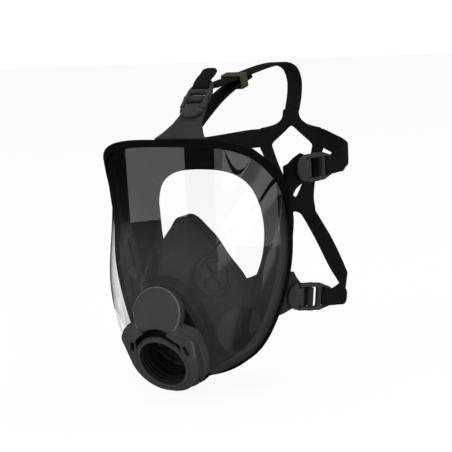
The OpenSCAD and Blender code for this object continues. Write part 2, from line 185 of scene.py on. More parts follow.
def add(tree, kind, inputs=(), **settings):
    node = tree.nodes.new("ShaderNode" + kind)
    for key, value in settings.items():
        setattr(node, key, value)
    for key, value in dict(inputs).items():
        put(tree, node.inputs[key], value)
    return node


def calc(tree, operation, *values, **settings):
    inputs = dict(enumerate(values))
    return add(tree, "Math", inputs, operation=operation, **settings).outputs[0]


def dot(tree, first, second):
    return add(tree, "VectorMath", {0: first, 1: second},
               operation="DOT_PRODUCT").outputs["Value"]


def remap(tree, value, source=(0, 1), target=(0, 1), kind="LINEAR"):
    inputs = {"Value": value, "From Min": source[0], "From Max": source[1],
              "To Min": target[0], "To Max": target[1]}
    return add(tree, "MapRange", inputs, interpolation_type=kind).outputs["Result"]


def attribute(tree, name):
    return add(tree, "Attribute", attribute_name=name).outputs["Fac"]


def mix_colours(tree, factor, first, second):
    return add(tree, "Mix", {0: factor, 6: first, 7: second}, data_type="RGBA").outputs[2]


def mix_values(tree, factor, first, second):
    return add(tree, "Mix", {0: factor, 2: first, 3: second}, data_type="FLOAT").outputs[0]


def new_material(name):
    material = bpy.data.materials.new(name)
    material.use_nodes = True
    return material, material.node_tree


def overlay(tree, factor, colour):
    """Mixes a colour over the surface's base colour."""
    base = tree.nodes["Principled BSDF"].inputs["Base Color"]
    put(tree, base, mix_colours(tree, factor, base.links[0].from_socket, (*colour, 1)))


# ------------------------------------------------------------------ materials
ROUGHNESS_SPREAD = 0.12
GRAIN_SCALE, GRAIN_DEPTH = 900.0, 0.0004       # depth in metres


def moulded(name, base, rough, bump, spec, scale=60.0, tone=0.25, metallic=0.0):
    """Moulded surface: cloudy tone (+-tone), varying gloss and a fine grain."""
    material, tree = new_material(name)
    coords = add(tree, "TexCoord").outputs["Object"]

    def noise(scale, detail):
        return add(tree, "TexNoise", {"Vector": coords, "Scale": scale,
                                      "Detail": detail}).outputs["Fac"]

    dark = (*[c*(1 - tone) for c in base], 1)
    light = (*[c*(1 + tone) for c in base], 1)
    gloss = remap(tree, noise(scale*2.7, 4),
                  target=(rough - ROUGHNESS_SPREAD, rough + ROUGHNESS_SPREAD))
    grain = add(tree, "Bump", {"Strength": bump, "Distance": GRAIN_DEPTH,
                               "Height": noise(GRAIN_SCALE, 2)})
    surface = tree.nodes["Principled BSDF"].inputs
    put(tree, surface["Base Color"], mix_colours(tree, noise(scale, 3), dark, light))
    put(tree, surface["Roughness"], gloss)
    put(tree, surface["Specular IOR Level"], spec)
    put(tree, surface["Metallic"], metallic)
    put(tree, surface["Normal"], grain.outputs["Normal"])
    return material


def clear_material(name):
    """Clear polycarbonate: see-through, with mirror gloss that rises towards grazing, and a
    painted glow on its front face that stands in for a faint reflection.
    """
    material, tree = new_material(name)
    tree.nodes.remove(tree.nodes["Principled BSDF"])
    geometry = add(tree, "NewGeometry").outputs
    facing = calc(tree, "ABSOLUTE", dot(tree, geometry["Normal"], geometry["Incoming"]))
    grazing = calc(tree, "SUBTRACT", 1.0, facing)
    # mirror strength: 0.044 face on, plus 0.22 at grazing
    mirror = calc(tree, "MULTIPLY_ADD", calc(tree, "POWER", grazing, 5.0), 0.22, 0.044)
    # the inner face and the flat pads carry a coated, low-gloss finish
    front = calc(tree, "SUBTRACT", 1.0, geometry["Backfacing"])
    finish = calc(tree, "MULTIPLY", front, attribute(tree, "gloss"))
    mirror = calc(tree, "MULTIPLY", mirror, finish)
    coords = add(tree, "TexCoord").outputs["Object"]
    cloud = add(tree, "TexNoise", {"Scale": 14, "Vector": coords}).outputs["Fac"]
    mirror = calc(tree, "MULTIPLY", mirror, remap(tree, cloud, target=(0.94, 1.06)))
    # a longer path through the sheet towards grazing darkens what is seen through it
    path = calc(tree, "MULTIPLY", calc(tree, "POWER", grazing, 3.0), attribute(tree, "gloss"))
    tint = calc(tree, "MULTIPLY_ADD", path, -1.9, 0.987, use_clamp=True)
    through = add(tree, "BsdfTransparent", {"Color": tint}).outputs[0]
    glossy = add(tree, "BsdfGlossy", {"Color": (1, 1, 1, 1), "Roughness": 0.0}).outputs[0]
    sheet = add(tree, "MixShader", {0: mirror, 1: through, 2: glossy}).outputs[0]
    # painted reflection: a faint white emission on the front face, its strength painted per
    # vertex low on the visor
    strength = calc(tree, "MULTIPLY", attribute(tree, "haze"), front)
    haze = add(tree, "Emission", {"Color": (0.98, 0.98, 1.0, 1), "Strength": strength})
    both = add(tree, "AddShader", {0: sheet, 1: haze.outputs[0]}).outputs[0]
    put(tree, tree.nodes["Material Output"].inputs["Surface"], both)
    return material


def paint_light_on_lower_skirt(tree):
    """Painted light: turns the skirt from black above to a paler grey below, standing in for
    the light on the lower skirt.
    """
    position = add(tree, "NewGeometry").outputs["Position"]
    height = add(tree, "SeparateXYZ", {0: position}).outputs["Z"]
    low = remap(tree, height, source=(0.150, 0.085), kind="SMOOTHSTEP")
    overlay(tree, low, colour=(0.026, 0.026, 0.0264))


CLEAR = clear_material("clear_polycarbonate")
FRAME_BLACK = moulded("frame_black", base=(0.0032, 0.0032, 0.0034), rough=0.42, bump=0.10,
                      spec=0.16)
SKIRT_GREY = moulded("face_rubber_grey", base=(0.0036, 0.0036, 0.0037), rough=0.55,
                     bump=0.15, spec=0.12, scale=35)
# painted light: the skirt's colour goes paler towards the bottom
paint_light_on_lower_skirt(SKIRT_GREY.node_tree)
CUP_GREY = moulded("cup_rubber_grey", base=(0.020, 0.020, 0.0203), rough=0.62, bump=0.15,
                   spec=0.25, scale=35)
LUG_RUBBER = moulded("lug_rubber", base=(0.032, 0.032, 0.0325), rough=0.55, bump=0.15,
                     spec=0.3, scale=50)
STRAP_BLACK = moulded("strap_rubber_black", base=(0.0080, 0.0080, 0.0082), rough=0.5,
                      bump=0.2, spec=0.3, scale=80)
KEEPER_BROWN = moulded("keeper_brown_black", base=(0.055, 0.048, 0.038), rough=0.30,
                       bump=0.05, spec=0.5)
COVER_GREY = moulded("cover_grey", base=(0.043, 0.043, 0.044), rough=0.48, bump=0.22,
                     spec=0.4, scale=45)
# painted shade: the crescent recess darkened in the base colour
overlay(COVER_GREY.node_tree, attribute(COVER_GREY.node_tree, "recess"),
        colour=(0.006, 0.006, 0.006))
# painted highlight: paler lines round the lobe's rim and along the plate's brow
overlay(COVER_GREY.node_tree, attribute(COVER_GREY.node_tree, "edge"),
        colour=(0.13, 0.13, 0.13))
HOUSING_BLACK = moulded("housing_black", base=(0.010, 0.010, 0.0103), rough=0.45, bump=0.12,
                        spec=0.4)
RING_GREY = moulded("port_ring_grey", base=(0.011, 0.011, 0.0113), rough=0.42, bump=0.12,
                    spec=0.3)
# painted highlight: the front face of the ring's rim made paler
overlay(RING_GREY.node_tree, attribute(RING_GREY.node_tree, "edge"),
        colour=(0.046, 0.046, 0.047))
FLAP_RUBBER = moulded("valve_flap_rubber", base=(0.030, 0.030, 0.0305), rough=0.5, bump=0.1,
                      spec=0.35)
BUCKLE_GREY = moulded("buckle_grey", base=(0.040, 0.040, 0.041), rough=0.40, bump=0.12,
                      spec=0.45, scale=120)
STEEL = moulded("pin_steel", base=(0.42, 0.42, 0.43), rough=0.28, bump=0.05, spec=0.5,
                scale=300, tone=0.12, metallic=1.0)
GASKET_BLACK = moulded("gasket_black", base=(0.010, 0.010, 0.010), rough=0.6, bump=0.1,
                       spec=0.3)


# ------------------------------------------------------------------ objects
# A solid is a pair: vertices in mm, faces.
def new_mesh(name, verts, faces, scale=MM):
    mesh = bpy.data.meshes.new(name)
    verts = np.asarray(verts, float)*scale
    mesh.from_pydata(verts.tolist(), [], [list(map(int, f)) for f in faces])
    return mesh


def new_object(name, data):
    ob = bpy.data.objects.new(name, data)
    scene.collection.objects.link(ob)
    return ob


def shade_smooth(mesh, sharp):
    mesh.polygons.foreach_set("use_smooth", np.ones(len(mesh.polygons), bool))
    mesh.set_sharp_from_angle(angle=radians(sharp))


def piece(name, solid, material, replaces=None, body="mask", sharp=40):
    """Makes one part. sharp is the crease angle; body=None leaves the motion to the caller."""
    mesh = new_mesh(name, *solid)
    mesh.validate()
    shade_smooth(mesh, sharp)
    mesh.materials.append(material)
    ob = new_object(name, mesh)
    if body:
        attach(ob, body)
    if replaces:
        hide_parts(replaces)
    return ob


def paint(ob, name, values):
    layer = ob.data.attributes.new(name, "FLOAT", "POINT")
    layer.data.foreach_set("value", values.astype(np.float32))


def outward(verts, faces):
    """Solid with its faces turned outwards."""
    verts = np.asarray(verts)
    fans = array([(f[0], f[k], f[k + 1]) for f in faces for k in range(1, len(f) - 1)])
    a, b, c = (verts[fans[:, k]] for k in range(3))
    if (a*np.cross(b, c)).sum() <= 0:
        faces = [tuple(reversed(f)) for f in faces]
    return verts, faces


def placed(solid, pose=None, mirror=False):
    """Solid moved by a pose (rotation, origin), then mirrored to -X if asked."""
    verts, faces = solid
    if pose:
        verts = verts @ pose[0].T + pose[1]
    if mirror:
        verts = verts @ MIRROR
        faces = [tuple(reversed(f)) for f in faces]
    return verts, faces


def shifted(solid, offset):
    return solid[0] + array(offset), solid[1]


def boolean(ob, operation, solid):
    """Joins a solid to an object or cuts it away, and applies the result."""
    tool = new_object("tool", new_mesh("tool", *outward(*solid)))
    modifier = ob.modifiers.new("b", "BOOLEAN")
    modifier.operation = operation
    modifier.solver = "MANIFOLD"
    modifier.object = tool
    graph = bpy.context.evaluated_depsgraph_get()
    graph.update()
    result = bpy.data.meshes.new_from_object(ob.evaluated_get(graph))
    ob.modifiers.remove(modifier)
    old = ob.data
    ob.data = result
    bpy.data.meshes.remove(old)
    bpy.data.objects.remove(tool)


# ------------------------------------------------------------------ swept and turned solids
def grid_faces(rows, ring, closed):
    """Quads between rows of points, where each row is a ring."""
    faces = []
    for i in range(rows if closed else rows - 1):
        below = (i + 1) % rows
        for j in range(ring):
            after = (j + 1) % ring
            faces.append((i*ring + j, below*ring + j, below*ring + after, i*ring + after))
    return faces


def ring_solid(rings, closed=True):
    """Solid through a series of rings, closed on itself or capped flat at both ends."""
    rows, ring = rings.shape[:2]
    faces = grid_faces(rows, ring, closed)
    if not closed:
        faces.append(tuple(range(ring)))
        faces.append(tuple(range(rows*ring - 1, (rows - 1)*ring - 1, -1)))
    return outward(rings.reshape(-1, 3), faces)


def grid_normals(grid, closed=True):
    if closed:
        down = np.roll(grid, -1, 0) - np.roll(grid, 1, 0)
    else:
        down = np.gradient(grid, axis=0)
    return unit(np.cross(np.gradient(grid, axis=1), down))


EDGE_STEPS = 7                                 # points round each edge of a shell


def shell_rings(grid, thickness, closed=True, bead=(0, 0)):
    """Rings of outer surface, rounded edge, inner surface and rounded edge.

    thickness may vary along the second index; bead swells the first and last edges.
    """
    normals = grid_normals(grid, closed)
    thickness = np.broadcast_to(np.asarray(thickness, float), (grid.shape[1],))
    inner = grid - thickness[None, :, None]*normals

    def edge(j, neighbour, swell):
        normal = normals[:, j]
        away = unit(grid[:, j] - grid[:, neighbour])
        away = unit(away - (away*normal).sum(-1, keepdims=True)*normal)
        centre = (grid[:, j] + inner[:, j])/2
        half = thickness[j]/2
        return [centre + (half + swell)*cos(a)*away + (half + swell*0.6)*sin(a)*normal
                for a in map(radians, linspace(90, -90, EDGE_STEPS + 2)[1:-1])]

    last = grid.shape[1] - 1
    rings = [grid[:, j] for j in range(last + 1)]
    rings += edge(last, last - 1, bead[1])
    rings += [inner[:, j] for j in range(last, -1, -1)]
    rings += edge(0, 1, bead[0])[::-1]
    return stack(rings, axis=1)


def round_poly(corners, radius, segments):
    """Rounds each corner of a closed 2D polygon; radius may be a list."""
    corners = [array(p, float) for p in corners]
    count = len(corners)
    radius = np.broadcast_to(np.asarray(radius, float), (count,))
    out = []
    for k in range(count):
        before, corner, after = corners[k - 1], corners[k], corners[(k + 1) % count]
        u, v = unit(before - corner), unit(after - corner)
        angle = acos(clip(u @ v, -1, 1))
        if radius[k] <= 0 or angle > radians(176):
            out += [corner]*(segments + 1)
            continue
        reach = min(radius[k]/tan(angle/2), 0.45*np.linalg.norm(before - corner),
                    0.45*np.linalg.norm(after - corner))
        start, end = corner + u*reach, corner + v*reach
        for s in range(segments + 1):
            f = s/segments
            out.append((1 - f)**2*start + 2*f*(1 - f)*corner + f*f*end)
    return array(out)


def section(at, profile, across, out):
    """A 2D profile set in space along two directions."""
    return at + profile[:, :1]*across + profile[:, 1:]*out


def lathe(profile, segments=96, radius_at=None):
    """Closed (radius, z) profile turned about z. radius_at(r, z, angle) may reshape it."""
    profile = np.asarray(profile, float)
    angles = np.arange(segments)*2*np.pi/segments
    r = np.repeat(profile[None, :, 0], segments, 0)
    z = np.repeat(profile[None, :, 1], segments, 0)
    angle = np.repeat(angles[:, None], len(profile), 1)
    if radius_at:
        r = radius_at(r, z, angle)
    return ring_solid(stack([r*np.cos(angle), r*np.sin(angle), z], -1))


AXIS = 0.001                                   # radius that stands for the axis itself


def plug(radius, z0, z1):
    return lathe([[AXIS, z0], [radius, z0], [radius, z1], [AXIS, z1]])


def washer(r0, r1, z0, z1, rounding, corner_steps=3, segments=96):
    corners = [[r0, z0], [r1, z0], [r1, z1], [r0, z1]]
    return lathe(round_poly(corners, rounding, corner_steps), segments)


# ------------------------------------------------------------------ distance fields
def surface_nets(field, low, high, step):
    """Quads over the surface where field(x, y, z) is 0, in cells of size step."""
    low = array(low, float) - 1.5*step
    high = array(high, float) + 1.5*step
    count = np.ceil((high - low)/step).astype(int) + 1
    axes = [low[k] + step*np.arange(count[k]) for k in range(3)]
    values = field(*np.meshgrid(*axes, indexing="ij"))
    values = where(values == 0, 1e-9, values)
    inside = values < 0
    corner = {c: values[tuple(slice(c[k], count[k] - 1 + c[k]) for k in range(3))]
              for c in np.ndindex(2, 2, 2)}
    below = sum((v < 0).astype(int) for v in corner.values())
    active = (below > 0) & (below < 8)
    cells = np.argwhere(active)
    index = -np.ones(active.shape, int)
    index[active] = np.arange(len(cells))
    # one vertex per active cell, at the mean of its edge crossings
    total = np.zeros((len(cells), 3))
    crossings = np.zeros(len(cells))
    for c in corner:
        for k in range(3):
            if c[k]:
                continue
            end = tuple(1 if i == k else c[i] for i in range(3))
            va, vb = corner[c][active], corner[end][active]
            crossed = (va < 0) != (vb < 0)
            point = np.tile(array(c, float), (len(cells), 1))
            point[:, k] += where(crossed, va/where(crossed, va - vb, 1), 0)
            total[crossed] += point[crossed]
            crossings[crossed] += 1
    verts = low + step*(cells + total/crossings[:, None])
    # one quad per crossed grid edge
    faces = []
    for k in range(3):
        a, b = (k + 1) % 3, (k + 2) % 3
        near = inside.take(range(count[k] - 1), axis=k)
        far = inside.take(range(1, count[k]), axis=k)
        edges = np.argwhere(near != far)
        edges = edges[(edges[:, a] > 0) & (edges[:, b] > 0)
                      & (edges[:, a] < count[a] - 1) & (edges[:, b] < count[b] - 1)]
        leaving = near[tuple(edges.T)]
        quads = []
        for da, db in ((-1, -1), (0, -1), (0, 0), (-1, 0)):
            cell = edges.copy()
            cell[:, a] += da
            cell[:, b] += db
            quads.append(index[tuple(cell.T)])
        quads = stack(quads, axis=1)
        quads[~leaving] = quads[~leaving][:, ::-1]
        faces.append(quads)
    faces = np.vstack(faces)
    faces = faces[(faces >= 0).all(1)]
    # two steps down the gradient bring the vertices onto the surface
    nudge = step*0.25
    for _ in range(2):
        here = field(*verts.T)
        slope = stack([field(*(verts + d).T) - field(*(verts - d).T)
                       for d in nudge*np.eye(3)], axis=1)/(2*nudge)
        move = -(here/maximum((slope*slope).sum(1), 0.25))[:, None]*slope
        length = np.linalg.norm(move, axis=1, keepdims=True)
        verts = verts + move*minimum(1, 0.45*step/maximum(length, 1e-9))
    return verts, faces


def merge(a, b, k):
    """Union with a fillet of about k."""
    h = clip(0.5 + 0.5*(b - a)/k, 0, 1)
    return b*(1 - h) + a*h - k*h*(1 - h)


def carve(body, tool, k=0):
    """Body less tool, its edge softened by about k."""
    return -merge(-body, tool, k) if k else maximum(body, -tool)


def extrude(outline, z, z0, z1, rounding=0.0):
    """2D distance carried from z0 to z1."""
    q = outline + rounding
    w = np.abs(z - (z0 + z1)/2) - (z1 - z0)/2 + rounding
    return minimum(maximum(q, w), 0) + hypot(maximum(q, 0), maximum(w, 0)) - rounding


def cylinder(x, y, z, radius, z0, z1, rounding=0.0):
    return extrude(hypot(x, y) - radius, z, z0, z1, rounding)


def box(x, y, z, centre, size, rounding):
    q = [np.abs(p - c) - s/2 + rounding for p, c, s in zip((x, y, z), centre, size)]
    out = np.sqrt(sum(maximum(k, 0)**2 for k in q))
    return out + minimum(maximum(maximum(q[0], q[1]), q[2]), 0) - rounding


def polygon(x, y, corners):
    """Signed distance to a closed 2D polygon."""
    corners = np.asarray(corners, float)
    square = np.full(x.shape, 1e9)
    sign = np.ones(x.shape)
    for i in range(len(corners)):
        a, b = corners[i], corners[i - 1]
        ex, ey = b[0] - a[0], b[1] - a[1]
        wx, wy = x - a[0], y - a[1]
        t = clip((wx*ex + wy*ey)/(ex*ex + ey*ey), 0, 1)
        square = minimum(square, (wx - ex*t)**2 + (wy - ey*t)**2)
        c1, c2, c3 = y >= a[1], y < b[1], ex*wy > ey*wx
        sign = where((c1 & c2 & c3) | (~c1 & ~c2 & ~c3), -sign, sign)
    return sign*np.sqrt(square)


def spin(x, y, degrees):
    """x, y in axes turned by an angle."""
    a = radians(degrees)
    return cos(a)*x + sin(a)*y, -sin(a)*x + cos(a)*y


# ------------------------------------------------------------------ poses
def rot(degrees, axis):
    return array(Matrix.Rotation(radians(degrees), 3, axis))


def to_local(x, y, z, pose):
    turn, origin = pose
    dx, dy, dz = x - origin[0], y - origin[1], z - origin[2]
    return tuple(turn[0, k]*dx + turn[1, k]*dy + turn[2, k]*dz for k in range(3))


# (rotation, origin) of the +X side; z points out of the mask
PORT = (rot(90 + PORT_TILT, "X"), array([0, 0, 0]))
LOBE = (rot(79, "X"), array([0, -4.5, 43]))                    # exhale valve above the port
CUP_VALVE = (rot(62, "Z") @ rot(72, "X"), array([32.6, 34.9, 67]))
PAD = (rot(58, "Z") @ rot(98, "X"), array([58.6, 28.2, 25]))   # flat disc low on the visor
# strap mounts; x points along the strap, away from the visor
FOREHEAD = (rot(90, "Z") @ rot(90, "X") @ rot(40, "Z") @ rot(-90, "X"),
            array([0, 62.5, 191.5]))
TEMPLE = (rot(75, "Z") @ rot(90, "X"), array([83, 89, 147]))
CHEEK = (rot(58, "Z") @ rot(90, "X") @ rot(-7, "Z"), array([73, 80, 43]))
MOUNTS = [("forehead", "", FOREHEAD, False)] + [       # place, side, pose, mirrored
    (place, "_" + side, pose, mirror)
    for place, pose in (("temple", TEMPLE), ("cheek", CHEEK)) for side, mirror in SIDES]

# ------------------------------------------------------------------ visor
VISOR_AROUND, VISOR_ACROSS = ((384, 64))
VISOR_THICKNESS = 2.6
LIP_RADIUS = 1.6
PAD_RADIUS, PAD_DEPTH, PAD_EDGE = 19.5, 3.4, 0.6


def visor_grid(around, blend):
    """Visor surface, from its edge (blend 0) to the opening round the connector (1)."""
    t = np.arange(around)*LOOP/around
    edge = rim_frame(t)[0]
    b = blend[None, :, None]
    return ((1 - b)**2*edge[:, None] + 2*(b*(1 - b))*mid(t)[:, None]
            + b**2*opening(t)[:, None])


def visor_solid():
    grid = visor_grid(VISOR_AROUND, linspace(0, 1, VISOR_ACROSS))
    # turned-out lip round the connector opening
    normal = grid_normals(grid)[:, -1]
    onward = unit(grid[:, -1] - grid[:, -3])
    lip = [grid[:, -1] + LIP_RADIUS*sin(a)*onward + LIP_RADIUS*(1 - cos(a))*normal
           for a in map(radians, (20, 45, 70, 90))]
    grid = np.concatenate([grid, stack(lip, 1)], axis=1)
    return ring_solid(shell_rings(grid, VISOR_THICKNESS))


def pad_solid():
    flat = PAD_RADIUS - PAD_EDGE
    profile = [[AXIS, -PAD_DEPTH], [PAD_RADIUS, -PAD_DEPTH]]
    profile += [[flat + PAD_EDGE*cos(a), -PAD_EDGE + PAD_EDGE*sin(a)]
                for a in linspace(0, pi/2, 5)]
    profile += [[flat - 0.3, 0], [PAD_RADIUS*0.8, 0], [AXIS, 0]]
    return lathe(profile, 128)


visor = piece("lens_visor", visor_solid(), CLEAR, "lens", sharp=35)
# small notch in the edge of each pad
notch = surface_nets(lambda x, y, z: box(x, y, z, (0, 0, 0), (3.2, 2.0, 3.0), 0.2),
                     (-2, -1.5, -2), (2, 1.5, 2), 0.4)
for _, mirror in SIDES:
    boolean(visor, "UNION", placed(pad_solid(), PAD, mirror))
    boolean(visor, "DIFFERENCE", placed(shifted(notch, [11.5, 15.0, 1.0]), PAD, mirror))
shade_smooth(visor.data, 35)


def paint_visor():
    """Gloss off the inner face and low on the pads; a painted glow, standing in for a faint
    reflection, low on the visor.
    """
    at = array([v.co[:] for v in visor.data.vertices])/MM
    normals = array([v.normal[:] for v in visor.data.vertices])
    gloss = np.ones(len(at))
    gloss[((at - array([0, 95, 70]))*normals).sum(1) < 0] = 0.0
    for side in (1, -1):
        x, y, z = to_local(at[:, 0]*side, at[:, 1], at[:, 2], PAD)
        gloss[(hypot(x, y) < 19.9) & (np.abs(z) < 5)] = 0.12
    # painted glow from none at z = 126 to full 44 mm lower
    low = clip((126 - at[:, 2])/44, 0, 1)
    haze = 0.0165*low*low*(3 - 2*low)*(gloss > 0)*where(gloss < 0.5, 0.8, 1)
    paint(visor, "haze", haze)
    paint(visor, "gloss", gloss)


paint_visor()

# ------------------------------------------------------------------ rim frame
FRAME_SPLIT = 5.35                             # station where upper and lower halves meet
FRAME_STEPS = 300
LIP_TOP, LIP_SIDE = 2.9, 4.4                   # reach over the visor, middle and sides


def rim_frame_half(first, last, steps):
    t = linspace(first, last, steps)
    edge, inward, out = rim_frame(t)
    station = t % LOOP
    station = where(station > LOOP/2, LOOP - station, station)
    lip = LIP_TOP + (LIP_SIDE - LIP_TOP)*np.sin(np.pi*station/8)**1.5
    rings = []
    for k in range(steps):
        profile = [[-3, 2.15], [lip[k], 1.75], [lip[k], 0.2], [-0.3, 0.2], [-0.3, -7], [-3, -7]]
        profile = round_poly(profile, [1.3, 0.7, 0.2, 0.3, 0.6, 0.9], 5)
        rings.append(section(edge[k], profile, inward[k], out[k]))
    return ring_solid(stack(rings), closed=False)


piece("rim_frame_upper", rim_frame_half(LOOP - FRAME_SPLIT, LOOP + FRAME_SPLIT, FRAME_STEPS),
      FRAME_BLACK, "frame_upper", sharp=50)
piece("rim_frame_lower", rim_frame_half(FRAME_SPLIT, LOOP - FRAME_SPLIT, FRAME_STEPS//2),
      FRAME_BLACK, "frame_lower", sharp=50)


# ------------------------------------------------------------------ face skirt
def skirt_solid():
    around = 320
    t = np.arange(around)*LOOP/around
    edge, inward, out = rim_frame(t)
    loops = stack([edge + 2.8*inward - 3.3*out, edge + 3.1*inward - 8.5*out,
                   back(t), rear(t), seal(t)], 0)
    depth = linspace(0, 4, 56)
    grid = catmull(loops, depth, closed=False).swapaxes(0, 1)
    thickness = np.interp(depth, [0, 3.2, 4], [2.4, 2.2, 1.5])
    return ring_solid(shell_rings(grid, thickness, bead=(0, 0.5)))


piece("face_blank_skirt", skirt_solid(), SKIRT_GREY, "face_blank", sharp=60)

# ------------------------------------------------------------------ nose cup
# z, half width, y at the sides, y at the front
CUP_STATIONS = [
    [113.9, 0.6, 42.6, 41.8], [113, 4, 42.2, 39], [110, 8, 43.5, 37], [103, 14, 45.5, 33],
    [94, 22, 47, 28], [79, 32, 48, 22], [61, 44, 51.6, 18], [45, 46, 54, 21],
    [30, 44, 57, 26], [15, 38, 60, 34], [4, 29, 63, 44], [-6, 17, 67, 57]]
CUP_WALL = 2.0
CUP_BORE = 16.7
CUP_ROWS, CUP_ACROSS = ((90, 145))
FLANK = 6                                      # where the front ends and the flank runs back


def cup_solid():
    stations = catmull(CUP_STATIONS, linspace(0, len(CUP_STATIONS) - 1, CUP_ROWS),
                       closed=False)
    z, half_width, side, front = (stations[:, k:k + 1] for k in range(4))
    across = linspace(-8, 8, CUP_ACROSS)
    u = np.sin(np.radians(15*minimum(np.abs(across), FLANK)))
    run_back = where(np.abs(across) > FLANK, (np.abs(across) - FLANK)*7, 0)
    ridge = np.sqrt(u**2 + 0.06**2) - 0.06
    fall = 1 - (0.72*u**1.7 + 0.28*ridge)[None]
    grid = stack([half_width*(u*np.sign(across))[None],
                  side - (side - front)*fall + run_back[None],
                  np.repeat(z, CUP_ACROSS, 1)], -1)
    rings = shell_rings(grid[::-1], CUP_WALL, closed=False, bead=(0.5, 0.5))
    ring = rings.shape[1]
    faces = grid_faces(CUP_ROWS, ring, closed=False)
    # each end row is closed by a strip from outer to inner points
    inner_start = CUP_ACROSS + EDGE_STEPS
    inner_end = inner_start + CUP_ACROSS
    for row in (0, CUP_ROWS - 1):
        ids = list(range(row*ring, (row + 1)*ring))
        outer, inner = ids[:CUP_ACROSS], ids[inner_start:inner_end][::-1]
        strip = [(outer[q], outer[q + 1], inner[q + 1], inner[q])
                 for q in range(CUP_ACROSS - 1)]
        strip.append((outer[-1], *ids[CUP_ACROSS:inner_start], inner[-1]))
        strip.append((inner[0], *ids[inner_end:], outer[0]))
        faces += [f[::-1] for f in strip] if row else strip
    return outward(rings.reshape(-1, 3), faces)


cup = piece("nose_cup_inner_mask", cup_solid(), CUP_GREY, "nose_cup", sharp=60)
for _, mirror in SIDES:
    boolean(cup, "DIFFERENCE", placed(plug(CUP_BORE, -8, 12), CUP_VALVE, mirror))
boolean(cup, "DIFFERENCE", placed(shifted(plug(18.9, -60, -12), [0, 8, 0]), PORT))
shade_smooth(cup.data, 60)


def cup_valve_ring(x, y, z):
    """Flanged ring with a groove in its face, four spokes and a hub."""
    ring = carve(cylinder(x, y, z, 17.6, -1.4, 2.0, 0.9), cylinder(x, y, z, 12.6, -9, 9))
    groove = np.abs(hypot(x, y) - 15.1) - 0.45
    ring = carve(ring, maximum(groove, 1.5 - z), 0.3)
    u, v = spin(x, y, 20)
    spokes = minimum(box(u, v, z, (0, 0, 0.4), (25.8, 1.7, 1.8), 0.4),
                     box(u, v, z, (0, 0, 0.4), (1.7, 25.8, 1.8), 0.4))
    ring = merge(ring, spokes, 0.6)
    return merge(ring, cylinder(x, y, z, 2.1, -1, 1.5, 0.4), 0.5)


ring = surface_nets(cup_valve_ring, (-18.5, -18.5, -2), (18.5, 18.5, 2.5),
                    0.36)
for side, mirror in SIDES:
    piece("cup_valve_ring_" + side, placed(ring, CUP_VALVE, mirror), CUP_GREY,
          "cup_valve_seat_" + side, sharp=45)
flap = lathe(round_poly([[AXIS, -2.0], [14, -2.0], [14, -1.25], [2.4, -1.2], [AXIS, -1.2]],
                        [0, 0.3, 0.3, 0, 0], 3), 72)
for side, mirror in SIDES:
    piece("cup_valve_flap_" + side, placed(flap, CUP_VALVE, mirror), FLAP_RUBBER,
          "cup_valve_disc_" + side, body="cup_flap_" + side, sharp=45)

# ------------------------------------------------------------------ front cover
PORT_BORE = 24.25
LOBE_STRETCH = 1.06                            # lobe width over its height


def hull(circles):
    """Hull of circles (x, y, radius) and their mirror images, as 96 support points."""
    circles = array([(s*x, y, r) for x, y, r in circles for s in (1, -1)], float)
    points = []
    for a in np.arange(96)*2*np.pi/96:
        d = array([cos(a), sin(a)])
        far = circles[int(np.argmax(circles[:, :2] @ d + circles[:, 2]))]
        points.append(far[:2] + far[2]*d)
    return array(points)


PLATE = hull([(2.4, 1.6, 29.6), (25.4, 19.8, 9.0)])
BASE = hull([(5.0, 3.6, 32.2), (26.8, 19.6, 9.6)])


def crescent(x, y):
    band = maximum(hypot(x, y - 2.6) - 27.0, 25.0 - hypot(x, y))
    return maximum(band, maximum(10.0 - y, np.abs(x) - 21.5))


def cover(wx, wy, wz):
    x, y, z = to_local(wx, wy, wz, PORT)
    lx, ly, lz = to_local(wx, wy, wz, LOBE)
    oval = hypot(lx/LOBE_STRETCH, ly)
    bowl = merge(extrude(polygon(x, y, PLATE), z, -8, -0.9, 1.3),
                 extrude(polygon(x, y, BASE), z, -15, -6.2, 1.4), 0.5)
    neck = merge(hypot(lx, ly + 7) - 19.6, hypot(lx, ly + 14) - 21.0, 2)
    neck = extrude(neck, lz, -9, -0.8, 1.6)
    lobe = extrude(oval - 21.2, lz, -8, 0.25, 1.0)
    body = merge(merge(bowl, neck, 2.6), lobe, 0.6)
    # shallow dish in the lobe's face, inside a raised rim
    body = carve(body, maximum(oval - 19.9, -0.3 - lz), 0.25)
    # hollow behind
    bore = cylinder(x, y, z, PORT_BORE, -40, 30)
    body = carve(body, bore)
    body = carve(body, cylinder(x, y, z, 31.3, -40, -8.2))
    body = carve(body, cylinder(lx, ly, lz, 19.0, -30, -2.5))
    # raised collar round the connector mouth
    collar = carve(cylinder(x, y, z, 26.9, -8, -0.1, 0.8), bore)
    body = merge(body, collar, 0.8)
    # crescent recess above the connector, and a slot on each side of it
    body = carve(body, maximum(crescent(x, y), -6.6 - z), 0.5)
    for s in (-1, 1):
        u, v = spin(x - s*25.6, y - 14.0, 14*s)
        body = carve(body, box(u, v, z, (0, 0, 0), (3.7, 9.0, 26), 0.5), 0.5)
    return body


def make_cover():
    verts, faces = surface_nets(cover, (-39, -14, -37), (39, 26, 66), 0.55)
    ob = piece("valve_cover", (verts, faces), COVER_GREY, "front_cover",
               sharp=42)
    x, y, z = to_local(*verts.T, PORT)
    lx, ly, lz = to_local(*verts.T, LOBE)
    # painted highlights: paler edges round the lobe's face and along the brow of the plate
    lobe_edge = ((np.abs(hypot(lx/LOBE_STRETCH, ly) - 20.9) < 0.55)
                 * (lz > -0.8)*(ly > -13))
    brow_edge = ((np.abs(polygon(x, y, PLATE) + 0.3) < 0.5)
                 * (z > -2.0)*(y > 8)*(lz < -0.8))
    paint(ob, "edge", 0.75*maximum(lobe_edge, brow_edge))
    # painted shade: darkens the floor of the crescent recess, deepest furthest in
    paint(ob, "recess", clip((-1.6 - z)/1.4, 0, 1)*(crescent(x, y) < 1.2))


make_cover()


